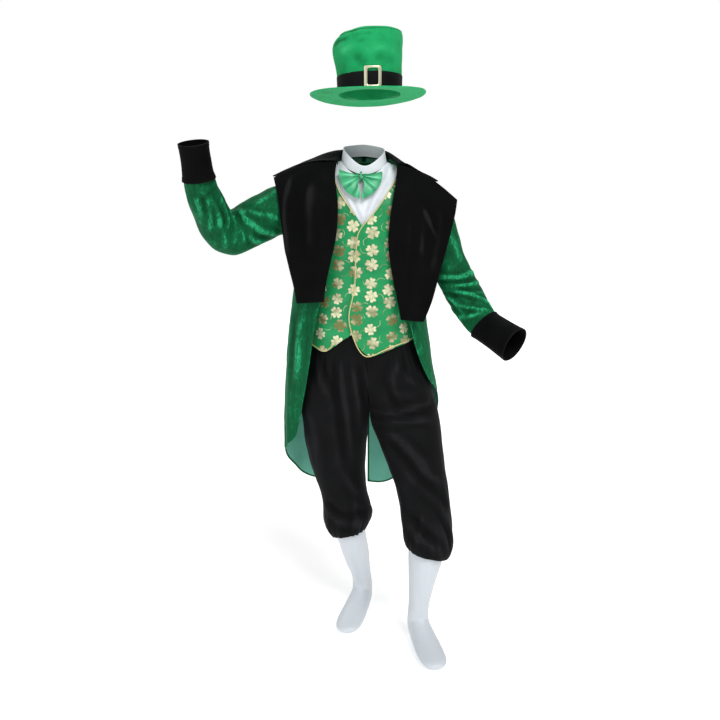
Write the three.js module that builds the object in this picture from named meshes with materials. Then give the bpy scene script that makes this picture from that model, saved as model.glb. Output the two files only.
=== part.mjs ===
// A leprechaun costume, hollow and shaped as it is worn: top hat, tailcoat with broad velvet
// lapels, printed waistcoat, shirt front with a stand collar, bow tie, gathered breeches and stockings.
// Units are millimetres. Heights are first written above the floor the figure stands on, x runs to the
// wearer's left, the front faces -y, and the whole is then lowered so that the origin is at the neck.
import * as THREE from 'three';

// Driving sizes of the general figure and of the cloth
const NECK_HEIGHT = 1500;
const THIN_CLOTH = 2;
const VELVET = 2.5;
const DOUBLE_VELVET = 3;
const KNIT = 1.6;
const LAYER_GAP = 0.7;
const SQUARENESS = 2.25;
const ARMHOLE_STEPS = 16;

// Materials, one for each cloth and trim
function finish(color, roughness, metalness = 0) {
  return new THREE.MeshStandardMaterial({ color, roughness, metalness });
}
const HAT_FELT = finish(0x17944a, 0.95);
const BLACK_RIBBON = finish(0x0a0a0b, 0.6);
const GOLD_PLASTIC = finish(0xd9c27a, 0.3, 0.8);
const GREEN_VELVET = finish(0x0b6b38, 0.75);
const BLACK_VELVET = finish(0x08080a, 0.85);
const PRINTED_SATIN = finish(0x0d9a4a, 0.4);
const GOLD_PIPING = finish(0xd8cc8c, 0.45);
const WHITE_COTTON = finish(0xe6e9ee, 0.85);
const BOW_SATIN = finish(0x35b873, 0.35);
const BLACK_KNIT = finish(0x101012, 0.8);
const WHITE_KNIT = finish(0xdde3e8, 0.6);

const costume = new THREE.Group();
costume.position.z = -NECK_HEIGHT;

function addPiece(name, geometry, material, group = costume) {
  const mesh = new THREE.Mesh(geometry, material);
  mesh.name = name;
  group.add(mesh);
}

// Small helpers

const radians = THREE.MathUtils.degToRad;

function between(low, high, count) {
  return Array.from({ length: count }, (_, i) => low + ((high - low) * i) / (count - 1));
}

// A column of a table, read smoothly at any place between its rows
function column(table, key, place) {
  const last = table.length - 1;
  const t = Math.min(Math.max(place, 0), last);
  const i = Math.min(Math.floor(t), last - 1);
  const f = t - i;
  const at = (k) => table[Math.min(Math.max(k, 0), last)][key];
  const slopeA = (at(i + 1) - at(i - 1)) / 2;
  const slopeB = (at(i + 2) - at(i)) / 2;
  const rise = at(i + 1) - at(i);
  return at(i) + f * (slopeA + f * (3 * rise - 2 * slopeA - slopeB + f * (slopeA + slopeB - 2 * rise)));
}

// The place between the rows of a table at which a falling or rising column has a value
function placeOf(table, key, value) {
  let low = 0;
  let high = table.length - 1;
  const rising = table[high][key] > table[0][key];
  for (let i = 0; i < 30; i += 1) {
    const middle = (low + high) / 2;
    if (column(table, key, middle) < value === rising) low = middle;
    else high = middle;
  }
  return (low + high) / 2;
}

// A column of a table whose rows are given at uneven values of another column
function lookUp(table, key, by, value) {
  return column(table, key, placeOf(table, by, value));
}

function smoothStep(from, to, value) {
  return THREE.MathUtils.smoothstep(value, from, to);
}

// Cloth walls: a grid of outer points, the same grid moved in by the cloth's thickness, and the rims

function gridNormals(grid, outward, closed) {
  const last = grid.length - 1;
  const columns = grid[0].length;
  const near = (i, j) => {
    const row = grid[Math.min(Math.max(i, 0), last)];
    return closed ? row[(j + columns) % columns] : row[Math.min(Math.max(j, 0), columns - 1)];
  };
  const normals = grid.map((row, i) => row.map((point, j) => {
    const down = near(i + 1, j).clone().sub(near(i - 1, j));
    const across = near(i, j + 1).clone().sub(near(i, j - 1));
    return down.cross(across).normalize();
  }));
  let agreement = 0;
  grid.forEach((row, i) => row.forEach((point, j) => {
    agreement += normals[i][j].dot(outward(point));
  }));
  if (agreement < 0) normals.flat().forEach((n) => n.negate());
  return normals;
}

function clothWall(grid, outward, wall, closed = false, tip = null) {
  const rows = grid.length;
  const columns = grid[0].length;
  const normals = gridNormals(grid, outward, closed);
  const positions = [];
  grid.flat().forEach((p) => positions.push(p.x, p.y, p.z));
  grid.forEach((row, i) => row.forEach((p, j) => {
    const inner = p.clone().addScaledVector(normals[i][j], -wall);
    positions.push(inner.x, inner.y, inner.z);
  }));
  const faces = [];
  const outer = (i, j) => i * columns + (j % columns);
  const inner = (i, j) => rows * columns + outer(i, j);
  const quad = (a, b, c, d) => faces.push(a, b, c, a, c, d);
  const across = closed ? columns : columns - 1;
  for (let j = 0; j < across; j += 1) {
    for (let i = 0; i < rows - 1; i += 1) {
      quad(outer(i, j), outer(i, j + 1), outer(i + 1, j + 1), outer(i + 1, j));
      quad(inner(i, j), inner(i + 1, j), inner(i + 1, j + 1), inner(i, j + 1));
    }
    quad(outer(0, j + 1), outer(0, j), inner(0, j), inner(0, j + 1));
    if (!tip) quad(outer(rows - 1, j), outer(rows - 1, j + 1), inner(rows - 1, j + 1), inner(rows - 1, j));
  }
  if (!closed) {
    for (let i = 0; i < rows - 1; i += 1) {
      quad(outer(i, 0), outer(i + 1, 0), inner(i + 1, 0), inner(i, 0));
      const end = columns - 1;
      quad(outer(i + 1, end), outer(i, end), inner(i, end), inner(i + 1, end));
    }
  }
  if (tip) {
    const outerTip = positions.length / 3;
    positions.push(tip.outer.x, tip.outer.y, tip.outer.z, tip.inner.x, tip.inner.y, tip.inner.z);
    for (let j = 0; j < columns; j += 1) {
      faces.push(outer(rows - 1, j), outer(rows - 1, j + 1), outerTip);
      faces.push(inner(rows - 1, j), outerTip + 1, inner(rows - 1, j + 1));
    }
  }
  return solid(positions, faces);
}

// A closed mesh with its faces turned outwards
function solid(positions, faces) {
  const point = (k) => new THREE.Vector3(positions[3 * k], positions[3 * k + 1], positions[3 * k + 2]);
  let volume = 0;
  for (let k = 0; k < faces.length; k += 3) {
    volume += point(faces[k]).dot(point(faces[k + 1]).cross(point(faces[k + 2])));
  }
  const index = volume < 0 ? faces.slice().reverse() : faces;
  const geometry = new THREE.BufferGeometry();
  geometry.setAttribute('position', new THREE.Float32BufferAttribute(positions, 3));
  geometry.setIndex(index);
  geometry.computeVertexNormals();
  return geometry;
}

// Upper garments: each is cut from a form of rings that run from the neck over the shoulders and down.
// Angles go round from the front, 90 at the wearer's left side, 180 at the back, and below 0 to the right.

const SHIRT_FORM = [
  {
    ring: 'neck', zFront: 1505, zLeft: 1548, zRight: 1552, zBack: 1560,
    xLeft: 72, xRight: 72, yFront: 68, yBack: 66,
  },
  {
    ring: 'yoke', zFront: 1462.5, zLeft: 1526.5, zRight: 1536, zBack: 1530,
    xLeft: 126.7, xRight: 126, yFront: 92.6, yBack: 88,
  },
  {
    ring: 'shoulder', zFront: 1416, zLeft: 1478, zRight: 1498, zBack: 1480,
    xLeft: 184, xRight: 188, yFront: 108, yBack: 108,
  },
  {
    ring: 'armhole', zFront: 1362, zLeft: 1400, zRight: 1412, zBack: 1405,
    xLeft: 192, xRight: 196, yFront: 118, yBack: 118,
  },
  {
    ring: 'chest', zFront: 1305, zLeft: 1310, zRight: 1315, zBack: 1320,
    xLeft: 172, xRight: 176, yFront: 122, yBack: 120,
  },
  {
    ring: 'ribs', zFront: 1200, zLeft: 1200, zRight: 1200, zBack: 1200,
    xLeft: 162, xRight: 166, yFront: 118, yBack: 108,
  },
];

const VEST_FORM = [
  {
    ring: 'neck', zFront: 1488, zLeft: 1542, zRight: 1549, zBack: 1550,
    xLeft: 102, xRight: 102, yFront: 85, yBack: 80,
  },
  {
    ring: 'yoke', zFront: 1466, zLeft: 1530, zRight: 1540, zBack: 1534,
    xLeft: 130, xRight: 130, yFront: 98, yBack: 92,
  },
  {
    ring: 'shoulder', zFront: 1420, zLeft: 1482, zRight: 1502, zBack: 1484,
    xLeft: 190, xRight: 194, yFront: 115, yBack: 112,
  },
  {
    ring: 'armhole', zFront: 1365, zLeft: 1402, zRight: 1414, zBack: 1408,
    xLeft: 199, xRight: 203, yFront: 126, yBack: 123,
  },
  {
    ring: 'chest', zFront: 1308, zLeft: 1310, zRight: 1315, zBack: 1320,
    xLeft: 180, xRight: 185, yFront: 131, yBack: 126,
  },
  {
    ring: 'ribs', zFront: 1200, zLeft: 1200, zRight: 1200, zBack: 1200,
    xLeft: 171, xRight: 176, yFront: 131, yBack: 114,
  },
  {
    ring: 'waist', zFront: 1090, zLeft: 1090, zRight: 1090, zBack: 1090,
    xLeft: 168, xRight: 174, yFront: 127, yBack: 106,
  },
  {
    ring: 'hip', zFront: 1000, zLeft: 1000, zRight: 1000, zBack: 1000,
    xLeft: 180, xRight: 186, yFront: 129, yBack: 120,
  },
  {
    ring: 'point', zFront: 930, zLeft: 930, zRight: 930, zBack: 930,
    xLeft: 190, xRight: 194, yFront: 131, yBack: 132,
  },
];

const COAT_FORM = [
  {
    ring: 'neck', zFront: 1514, zLeft: 1556, zRight: 1560, zBack: 1568,
    xLeft: 79, xRight: 79, yFront: 78, yBack: 73,
  },
  {
    ring: 'yoke', zFront: 1471, zLeft: 1534, zRight: 1544, zBack: 1539,
    xLeft: 135, xRight: 135, yFront: 106, yBack: 98,
  },
  {
    ring: 'shoulder', zFront: 1425, zLeft: 1487, zRight: 1507, zBack: 1490,
    xLeft: 200, xRight: 206, yFront: 124, yBack: 120,
  },
  {
    ring: 'armhole', zFront: 1370, zLeft: 1407, zRight: 1417, zBack: 1412,
    xLeft: 210, xRight: 218, yFront: 137, yBack: 132,
  },
  {
    ring: 'chest', zFront: 1310, zLeft: 1310, zRight: 1310, zBack: 1320,
    xLeft: 194, xRight: 208, yFront: 143, yBack: 136,
  },
  {
    ring: 'ribs', zFront: 1200, zLeft: 1200, zRight: 1200, zBack: 1200,
    xLeft: 190, xRight: 218, yFront: 145, yBack: 128,
  },
  {
    ring: 'waist', zFront: 1090, zLeft: 1090, zRight: 1090, zBack: 1090,
    xLeft: 197, xRight: 236, yFront: 144, yBack: 122,
  },
  {
    ring: 'hip', zFront: 990, zLeft: 990, zRight: 990, zBack: 990,
    xLeft: 212, xRight: 248, yFront: 146, yBack: 146,
  },
  {
    ring: 'seat', zFront: 870, zLeft: 870, zRight: 870, zBack: 870,
    xLeft: 231, xRight: 258, yFront: 148, yBack: 170,
  },
  {
    ring: 'thigh', zFront: 740, zLeft: 740, zRight: 740, zBack: 740,
    xLeft: 254, xRight: 266, yFront: 130, yBack: 185,
  },
  {
    ring: 'knee', zFront: 560, zLeft: 560, zRight: 560, zBack: 560,
    xLeft: 246, xRight: 268, yFront: 116, yBack: 196,
  },
  {
    ring: 'calf', zFront: 380, zLeft: 380, zRight: 380, zBack: 380,
    xLeft: 238, xRight: 262, yFront: 104, yBack: 204,
  },
];

// A point of a form at a place between its rings, going round by an angle, pushed out by some millimetres
function formPoint(form, place, degrees, out = 0) {
  const cosine = Math.cos(radians(degrees));
  const sine = Math.sin(radians(degrees));
  const power = 2 / SQUARENESS;
  const side = sine >= 0 ? 'Left' : 'Right';
  const face = cosine >= 0 ? 'Front' : 'Back';
  const halfWidth = column(form, `x${side}`, place);
  const depth = column(form, `y${face}`, place);
  const zSide = column(form, `z${side}`, place);
  const zFace = column(form, `z${face}`, place);
  return new THREE.Vector3(
    Math.sign(sine) * halfWidth * Math.abs(sine) ** power + out * sine,
    -Math.sign(cosine) * depth * Math.abs(cosine) ** power - out * cosine,
    zSide + (zFace - zSide) * cosine ** 2,
  );
}

// The angle at which a form's ring is a distance x from its middle, x to the side that is being cut
function angleAt(form, place, sign, x) {
  const side = sign * x >= 0 ? 'Left' : 'Right';
  const share = Math.min(Math.abs(x) / column(form, `x${side}`, place), 1);
  return THREE.MathUtils.radToDeg(Math.sign(x) * Math.asin(share ** (SQUARENESS / 2)));
}

// The angle of a front edge that a table gives as distances x at heights z, found by going back and forth
function edgeAngle(form, place, side, table) {
  const sign = side === 'left' ? 1 : -1;
  let angle = 45;
  for (let i = 0; i < 12; i += 1) {
    const z = formPoint(form, place, sign * angle).z;
    angle = (angle + angleAt(form, place, sign, lookUp(table, side, 'z', z))) / 2;
  }
  return Math.min(angle, 89);
}

// Upward and away from the body's axis, which is outwards anywhere on a form
function awayFromAxis(point) {
  return new THREE.Vector3(point.x, point.y, Math.max(point.z - 1400, 0));
}

// Away from the middle of a level ring
function awayFromMiddle(point) {
  return new THREE.Vector3(point.x, point.y, 0);
}

// The armhole is an oval on the form round the shoulder point, from its top at 0 degrees by the front
const ARMHOLE = { middle: 3, reach: 1, halfAngle: 27 };

// The places down a panel: along the shoulder seam and round the armhole
function upperPlaces() {
  const top = ARMHOLE.middle - ARMHOLE.reach;
  const seam = between(0, top, 5).slice(0, -1);
  const hole = between(0, 180, ARMHOLE_STEPS / 2 + 1);
  return [...seam, ...hole.map((turn) => ARMHOLE.middle - ARMHOLE.reach * Math.cos(radians(turn)))];
}

// How far the armhole cuts into a panel, in degrees from the side, at each place
function armholeBite(place, wider = 0) {
  const offset = (ARMHOLE.middle - place) / ARMHOLE.reach;
  if (Math.abs(offset) >= 1) return 0;
  return (ARMHOLE.halfAngle + wider) * Math.sqrt(1 - offset ** 2);
}

// A panel of an upper garment: rows over the shoulder and round the armhole, then rows down to its hem.
// The hem and both edges are functions; `way` goes from the side named first to the other.
function panelGrid({ form, sign, columns, rows, upper, lower, startZ, hem, out }) {
  const points = upperPlaces().map((place) => {
    const [from, to] = upper(place);
    return between(from, to, columns).map((angle) => (
      formPoint(form, place, sign * angle, out(angle, startZ))));
  });
  between(0, 1, rows).slice(1).forEach((share) => {
    const row = [];
    for (let j = 0; j < columns; j += 1) {
      const way = j / (columns - 1);
      const z = startZ + (hem(way) - startZ) * share;
      const place = placeOf(form, 'zBack', z);
      const [from, to] = lower(z, place, share, startZ + (hem(1) - startZ) * share);
      const angle = from + (to - from) * way;
      row.push(formPoint(form, place, sign * angle, out(angle, z)));
    }
    points.push(row);
  });
  return points;
}

const SEAM_ANGLE = 0.14;

// Tailcoat

// The front edge from the neck to the cutaway: distances from the middle on each side
const COAT_FRONT_EDGE = [
  { z: 1560, left: 79, right: 79 },
  { z: 1535, left: 104, right: 96 },
  { z: 1494, left: 106, right: 98 },
  { z: 1420, left: 93, right: 88 },
  { z: 1331, left: 88, right: 91 },
  { z: 1242, left: 97, right: 110 },
  { z: 1150, left: 112, right: 128 },
  { z: 1052, left: 146, right: 156 },
  { z: 984, left: 160, right: 163 },
  { z: 898, left: 192, right: 178 },
  { z: 790, left: 238, right: 200 },
  { z: 675, left: 244, right: 224 },
  { z: 591, left: 246, right: 243 },
  { z: 510, left: 246, right: 256 },
];

// The hem of each skirt, from the centre back to the side seam, and from the side seam to the front edge
const BACK_HEM = [
  { way: 0, left: 414, right: 442 },
  { way: 0.12, left: 403, right: 433 },
  { way: 0.3, left: 420, right: 434 },
  { way: 0.48, left: 462, right: 450 },
  { way: 0.72, left: 545, right: 512 },
  { way: 1, left: 680, right: 612 },
];
const FRONT_HEM = [
  { way: 0, left: 812, right: 612 },
  { way: 0.5, left: 832, right: 632 },
  { way: 1, left: 862, right: 664 },
];

// Below the left side seam the tail's free edge swings behind the leg
const LEFT_TAIL_EDGE = [
  { z: 830, angle: 90 },
  { z: 780, angle: 95 },
  { z: 720, angle: 103 },
  { z: 640, angle: 113 },
];
const VENT = { top: 900, open: 650, spread: 2 };
const SKIRT_WAVES = { count: 11, deep: 9, from: 1020, full: 520 };

function skirtWave(angle, z) {
  const grown = 1 - smoothStep(SKIRT_WAVES.full, SKIRT_WAVES.from, z);
  return SKIRT_WAVES.deep * grown * Math.cos(radians(SKIRT_WAVES.count * angle));
}

function coatBack(side) {
  return panelGrid({
    form: COAT_FORM,
    sign: side === 'left' ? 1 : -1,
    columns: 8,
    rows: 11,
    startZ: 1320,
    out: skirtWave,
    hem: (way) => lookUp(BACK_HEM, side, 'way', way),
    upper: (place) => [180 - SEAM_ANGLE, 90 + SEAM_ANGLE + armholeBite(place)],
    lower: (z) => {
      const centre = 180 - SEAM_ANGLE - VENT.spread * (1 - smoothStep(VENT.open, VENT.top, z));
      const free = side === 'left' && z < LEFT_TAIL_EDGE[0].z;
      const outer = free ? lookUp(LEFT_TAIL_EDGE, 'angle', 'z', z) : 90;
      return [centre, outer + SEAM_ANGLE];
    },
  });
}

function coatFront(side) {
  return panelGrid({
    form: COAT_FORM,
    sign: side === 'left' ? 1 : -1,
    columns: 7,
    rows: side === 'left' ? 8 : 10,
    startZ: 1310,
    out: skirtWave,
    hem: (way) => lookUp(FRONT_HEM, side, 'way', way),
    upper: (place) => [
      90 - SEAM_ANGLE - armholeBite(place),
      edgeAngle(COAT_FORM, place, side, COAT_FRONT_EDGE),
    ],
    lower: (z, place, share, edgeZ) => {
      const atEdge = placeOf(COAT_FORM, 'zBack', edgeZ);
      const x = lookUp(COAT_FRONT_EDGE, side, 'z', edgeZ);
      return [90 - SEAM_ANGLE, Math.min(angleAt(COAT_FORM, atEdge, side === 'left' ? 1 : -1, x), 89)];
    },
  });
}

// Sleeves: rings from the armhole down the arm, each with its centre, its height and its depth.
// The first row is the armhole itself. The cuff is turned back over the sleeve's end.
const LEFT_ARM = [
  { x: 210, y: 0, z: 1400, tall: 88, deep: 66 },
  { x: 234, y: -9, z: 1366, tall: 67, deep: 63 },
  { x: 246, y: -25, z: 1310, tall: 56, deep: 57 },
  { x: 264, y: -42, z: 1253, tall: 55, deep: 56 },
  { x: 285, y: -61, z: 1198, tall: 59, deep: 57 },
  { x: 308, y: -86, z: 1150, tall: 60, deep: 58 },
  { x: 332, y: -116, z: 1108, tall: 56, deep: 55 },
  { x: 353, y: -141, z: 1077, tall: 52, deep: 51 },
  { x: 376, y: -162, z: 1053, tall: 48, deep: 48 },
  { x: 410, y: -192, z: 1034, tall: 50, deep: 50 },
  { x: 452, y: -230, z: 1011, tall: 53, deep: 53 },
];
const RIGHT_ARM = [
  { x: -218, y: 0, z: 1408, tall: 88, deep: 66 },
  { x: -262, y: -18, z: 1400, tall: 80, deep: 68 },
  { x: -318, y: -38, z: 1378, tall: 75, deep: 68 },
  { x: -370, y: -62, z: 1350, tall: 72, deep: 66 },
  { x: -418, y: -84, z: 1336, tall: 67, deep: 63 },
  { x: -450, y: -108, z: 1352, tall: 62, deep: 60 },
  { x: -462, y: -136, z: 1394, tall: 60, deep: 58 },
  { x: -471, y: -160, z: 1432, tall: 57, deep: 56 },
  { x: -478, y: -184, z: 1472, tall: 49, deep: 49 },
  { x: -483, y: -203, z: 1532, tall: 41, deep: 41 },
  { x: -488, y: -221, z: 1600, tall: 42, deep: 42 },
];
// The row of each arm at which its sleeve ends, inside the cuff
const SLEEVE_END = { left: 8, right: 8.75 };
const CUFF_COVER = { below: 0.3, above: 0.05, top: 1.05, flare: 2, ease: 0.6 };
const SLEEVE_START = 0.55;
const SLEEVE_RINGS = 14;
const SHOULDER_TURN = 2.2;
const CUFF_WALL = 3;
const SLEEVE_GAP = 0.9;
const SLEEVE_EASE = 2;

// Folds pressed into a sleeve: where along it and how far round it lies, its depth, length and width
const LEFT_SLEEVE_FOLDS = [
  { row: 2.2, turn: 120, deep: 6, long: 0.5, wide: 50 },
  { row: 3.2, turn: 60, deep: -5, long: 0.5, wide: 60 },
  { row: 4.3, turn: 110, deep: 8, long: 0.35, wide: 45 },
  { row: 5.0, turn: 150, deep: -8, long: 0.3, wide: 50 },
  { row: 5.7, turn: 100, deep: 7, long: 0.3, wide: 50 },
  { row: 6.5, turn: 60, deep: -6, long: 0.3, wide: 55 },
  { row: 5.2, turn: 270, deep: 6, long: 0.4, wide: 60 },
  { row: 4.2, turn: 240, deep: -6, long: 0.4, wide: 60 },
];
const RIGHT_SLEEVE_FOLDS = [
  { row: 1.4, turn: 150, deep: -7, long: 0.5, wide: 50 },
  { row: 2.4, turn: 90, deep: 6, long: 0.5, wide: 50 },
  { row: 3.3, turn: 40, deep: -7, long: 0.4, wide: 50 },
  { row: 4.2, turn: 80, deep: 7, long: 0.35, wide: 50 },
  { row: 5.0, turn: 20, deep: -9, long: 0.4, wide: 60 },
  { row: 5.8, turn: 70, deep: 7, long: 0.35, wide: 50 },
  { row: 6.6, turn: 110, deep: -6, long: 0.35, wide: 50 },
  { row: 4.6, turn: 250, deep: 6, long: 0.5, wide: 60 },
  { row: 4.1, turn: 180, deep: 13, long: 0.6, wide: 60 },
  { row: 5.9, turn: 180, deep: -14, long: 1.1, wide: 70 },
];

function foldHeight(folds, row, turn) {
  return folds.reduce((sum, fold) => {
    const round = Math.abs(((turn - fold.turn + 540) % 360) - 180) / fold.wide;
    const along = (row - fold.row) / fold.long;
    return sum + fold.deep * Math.exp(-(along ** 2) - round ** 2);
  }, 0);
}

// Rings along an arm, carried from one to the next without twisting; each starts at the top of the arm
function armRings(table, rows, radiusOut) {
  const centre = (row) => new THREE.Vector3(...['x', 'y', 'z'].map((key) => column(table, key, row)));
  const outward = new THREE.Vector3(Math.sign(table[0].x), 0, 0);
  const heading = (row) => {
    const path = centre(row + 0.05).sub(centre(row - 0.05)).normalize();
    return outward.clone().lerp(path, smoothStep(0, SHOULDER_TURN, row)).normalize();
  };
  const up = new THREE.Vector3(0, 0, 1);
  const rings = new Map();
  between(0.05, table.length - 1.06, 80).forEach((row) => {
    const along = heading(row);
    up.addScaledVector(along, -up.dot(along)).normalize();
    rings.set(row, { along, up: up.clone(), front: along.clone().cross(up) });
  });
  const frames = [...rings];
  return rows.map((row) => {
    const offRow = (frame) => Math.abs(frame[0] - row);
    const [, { up: lift, front }] = frames.reduce((a, b) => (offRow(b) < offRow(a) ? b : a));
    const forward = front.y < 0 ? front : front.clone().negate();
    return between(0, 360, ARMHOLE_STEPS + 1).slice(0, -1).map((turn) => {
      const out = radiusOut(row, turn);
      return centre(row)
        .addScaledVector(lift, (column(table, 'tall', row) + out) * Math.cos(radians(turn)))
        .addScaledVector(forward, (column(table, 'deep', row) + out) * Math.sin(radians(turn)));
    });
  });
}

// The armhole edge of the coat, stepped round from the top by the front, and moved off the coat's edge
function armholeRing(side) {
  const sign = side === 'left' ? 1 : -1;
  return between(0, 360, ARMHOLE_STEPS + 1).slice(0, -1).map((turn) => {
    const place = ARMHOLE.middle - ARMHOLE.reach * Math.cos(radians(turn));
    const bite = Math.sign(180 - turn) * armholeBite(place);
    const point = formPoint(COAT_FORM, place, sign * (90 - (turn % 180 === 0 ? 0 : bite)));
    point.x += sign * SLEEVE_GAP;
    return point;
  });
}

function sleeveGrid(side, table, folds) {
  const rows = between(SLEEVE_START, SLEEVE_END[side], SLEEVE_RINGS - 1);
  const rings = armRings(table, rows, (row, turn) => foldHeight(folds, row, turn));
  return [armholeRing(side), ...rings];
}

function cuffGrid(side, table) {
  const end = SLEEVE_END[side];
  const inner = end + CUFF_COVER.above;
  const top = table.length - CUFF_COVER.top;
  const rows = [end - CUFF_COVER.below, inner, (inner + top) / 2, top];
  const ease = CUFF_WALL + CUFF_COVER.ease;
  return armRings(table, rows, (row) => (row < end ? ease + CUFF_COVER.flare : ease));
}

// Which way is out from an arm: away from the nearest point of its middle line
function awayFromArm(table) {
  const middles = between(0, table.length - 1, 60).map((row) => (
    new THREE.Vector3(...['x', 'y', 'z'].map((key) => column(table, key, row)))));
  return (point) => {
    const nearest = middles.reduce((a, b) => (b.distanceTo(point) < a.distanceTo(point) ? b : a));
    return point.clone().sub(nearest);
  };
}

// Layers: a grid of one piece is pushed clear of the grids that it lies on, where it is near enough to
// one of a layer's points on the level and not deeper under the layer than the far side of the body is
const CLEARING = { passes: 3, aside: 16, deepest: -70 };

function keepClear(grid, layers, gap) {
  grid.flat().forEach((point) => {
    for (let pass = 0; pass < CLEARING.passes; pass += 1) {
      layers.forEach((cloud) => {
        let best = null;
        let near = Infinity;
        cloud.forEach((spot) => {
          const distance = spot.point.distanceToSquared(point);
          if (distance < near) {
            near = distance;
            best = spot;
          }
        });
        const height = point.clone().sub(best.point).dot(best.normal);
        const aside = Math.sqrt(Math.max(near - height ** 2, 0));
        const covered = aside < CLEARING.aside && height > CLEARING.deepest;
        if (covered && height < gap) point.addScaledVector(best.normal, gap - height);
      });
    }
  });
  return grid;
}

// Points and outward normals all over a grid, twice as fine as the grid, for keepClear
function layerOf(grid, outward, closed = false) {
  const middle = (a, b) => a.clone().add(b).multiplyScalar(0.5);
  const finerRow = (row) => row.flatMap((p, j) => {
    const next = row[(j + 1) % row.length];
    return closed || j < row.length - 1 ? [p, middle(p, next)] : [p];
  });
  const wide = grid.map(finerRow);
  const fine = wide.flatMap((row, i) => (
    i < wide.length - 1 ? [row, row.map((p, j) => middle(p, wide[i + 1][j]))] : [row]));
  const normals = gridNormals(fine, outward, closed);
  return fine.flatMap((row, i) => row.map((point, j) => ({ point, normal: normals[i][j] })));
}

// A sheet between two edges that a table gives, bowed up and forward between them
function sheetBetween(table, rows, columns) {
  return between(0, table.length - 1, rows).map((row) => {
    const at = (key) => column(table, key, row);
    return between(0, 1, columns).map((share) => {
      const bow = 4 * share * (1 - share);
      return new THREE.Vector3(
        at('xIn') + (at('xOut') - at('xIn')) * share,
        at('yIn') + (at('yOut') - at('yIn')) * share - at('swell') * bow,
        at('zIn') + (at('zOut') - at('zIn')) * share + at('rise') * bow,
      );
    });
  });
}

// Lapels: their rolled inner edge and their outer edge, from the collar down
const LEFT_LAPEL = [
  { xIn: 101, yIn: -62, zIn: 1540, xOut: 287, yOut: -62, zOut: 1433, rise: 18, swell: 6 },
  { xIn: 97, yIn: -96, zIn: 1494, xOut: 280, yOut: -84, zOut: 1394, rise: 9, swell: 14 },
  { xIn: 84, yIn: -128, zIn: 1420, xOut: 269, yOut: -100, zOut: 1350, rise: 3, swell: 14 },
  { xIn: 72, yIn: -135, zIn: 1331, xOut: 252, yOut: -114, zOut: 1284, rise: 0, swell: 14 },
  { xIn: 80, yIn: -136, zIn: 1242, xOut: 226, yOut: -126, zOut: 1193, rise: 0, swell: 14 },
  { xIn: 99, yIn: -134, zIn: 1150, xOut: 206, yOut: -132, zOut: 1116, rise: 0, swell: 12 },
  { xIn: 113, yIn: -150, zIn: 1073, xOut: 184, yOut: -134, zOut: 1064, rise: 0, swell: 3 },
];
const RIGHT_LAPEL = [
  { xIn: -84, yIn: -64, zIn: 1546, xOut: -282, yOut: -14, zOut: 1500, rise: 16, swell: 10 },
  { xIn: -89, yIn: -92, zIn: 1494, xOut: -266, yOut: -72, zOut: 1455, rise: 9, swell: 16 },
  { xIn: -79, yIn: -119, zIn: 1440, xOut: -257, yOut: -102, zOut: 1400, rise: 4, swell: 14 },
  { xIn: -79, yIn: -140, zIn: 1370, xOut: -249, yOut: -106, zOut: 1330, rise: 0, swell: 14 },
  { xIn: -86, yIn: -148, zIn: 1312, xOut: -240, yOut: -114, zOut: 1270, rise: 0, swell: 12 },
  { xIn: -102, yIn: -152, zIn: 1245, xOut: -226, yOut: -124, zOut: 1215, rise: 0, swell: 9 },
  { xIn: -117, yIn: -152, zIn: 1178, xOut: -213, yOut: -132, zOut: 1160, rise: 0, swell: 6 },
  { xIn: -122, yIn: -150, zIn: 1129, xOut: -207, yOut: -136, zOut: 1122, rise: 0, swell: 4 },
];

// Collar: its roll round the neck and its outer edge over the shoulders and back, left to right
const COLLAR = [
  { xIn: 100, yIn: -56, zIn: 1543, xOut: 232, yOut: -14, zOut: 1490, rise: 6, swell: 2 },
  { xIn: 85, yIn: -6, zIn: 1572, xOut: 200, yOut: 44, zOut: 1486, rise: 8, swell: 0 },
  { xIn: 62, yIn: 52, zIn: 1592, xOut: 156, yOut: 113, zOut: 1476, rise: 12, swell: -8 },
  { xIn: 0, yIn: 77, zIn: 1600, xOut: -4, yOut: 136, zOut: 1452, rise: 6, swell: -12 },
  { xIn: -62, yIn: 52, zIn: 1595, xOut: -170, yOut: 113, zOut: 1484, rise: 12, swell: -8 },
  { xIn: -79, yIn: -6, zIn: 1585, xOut: -252, yOut: 44, zOut: 1508, rise: 16, swell: 0 },
  { xIn: -82, yIn: -60, zIn: 1550, xOut: -284, yOut: -8, zOut: 1504, rise: 14, swell: 8 },
];
const COLLAR_STAND = { down: 20, inwards: 2 };
const SEAT_GAP = 0.4;

function collarGrid() {
  return sheetBetween(COLLAR, 19, 5).map((row) => {
    const roll = row[0];
    const inward = new THREE.Vector3(-roll.x, -roll.y, 0).setLength(COLLAR_STAND.inwards);
    const foot = roll.clone().add(inward);
    foot.z -= COLLAR_STAND.down;
    return [foot, ...row];
  });
}

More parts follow.
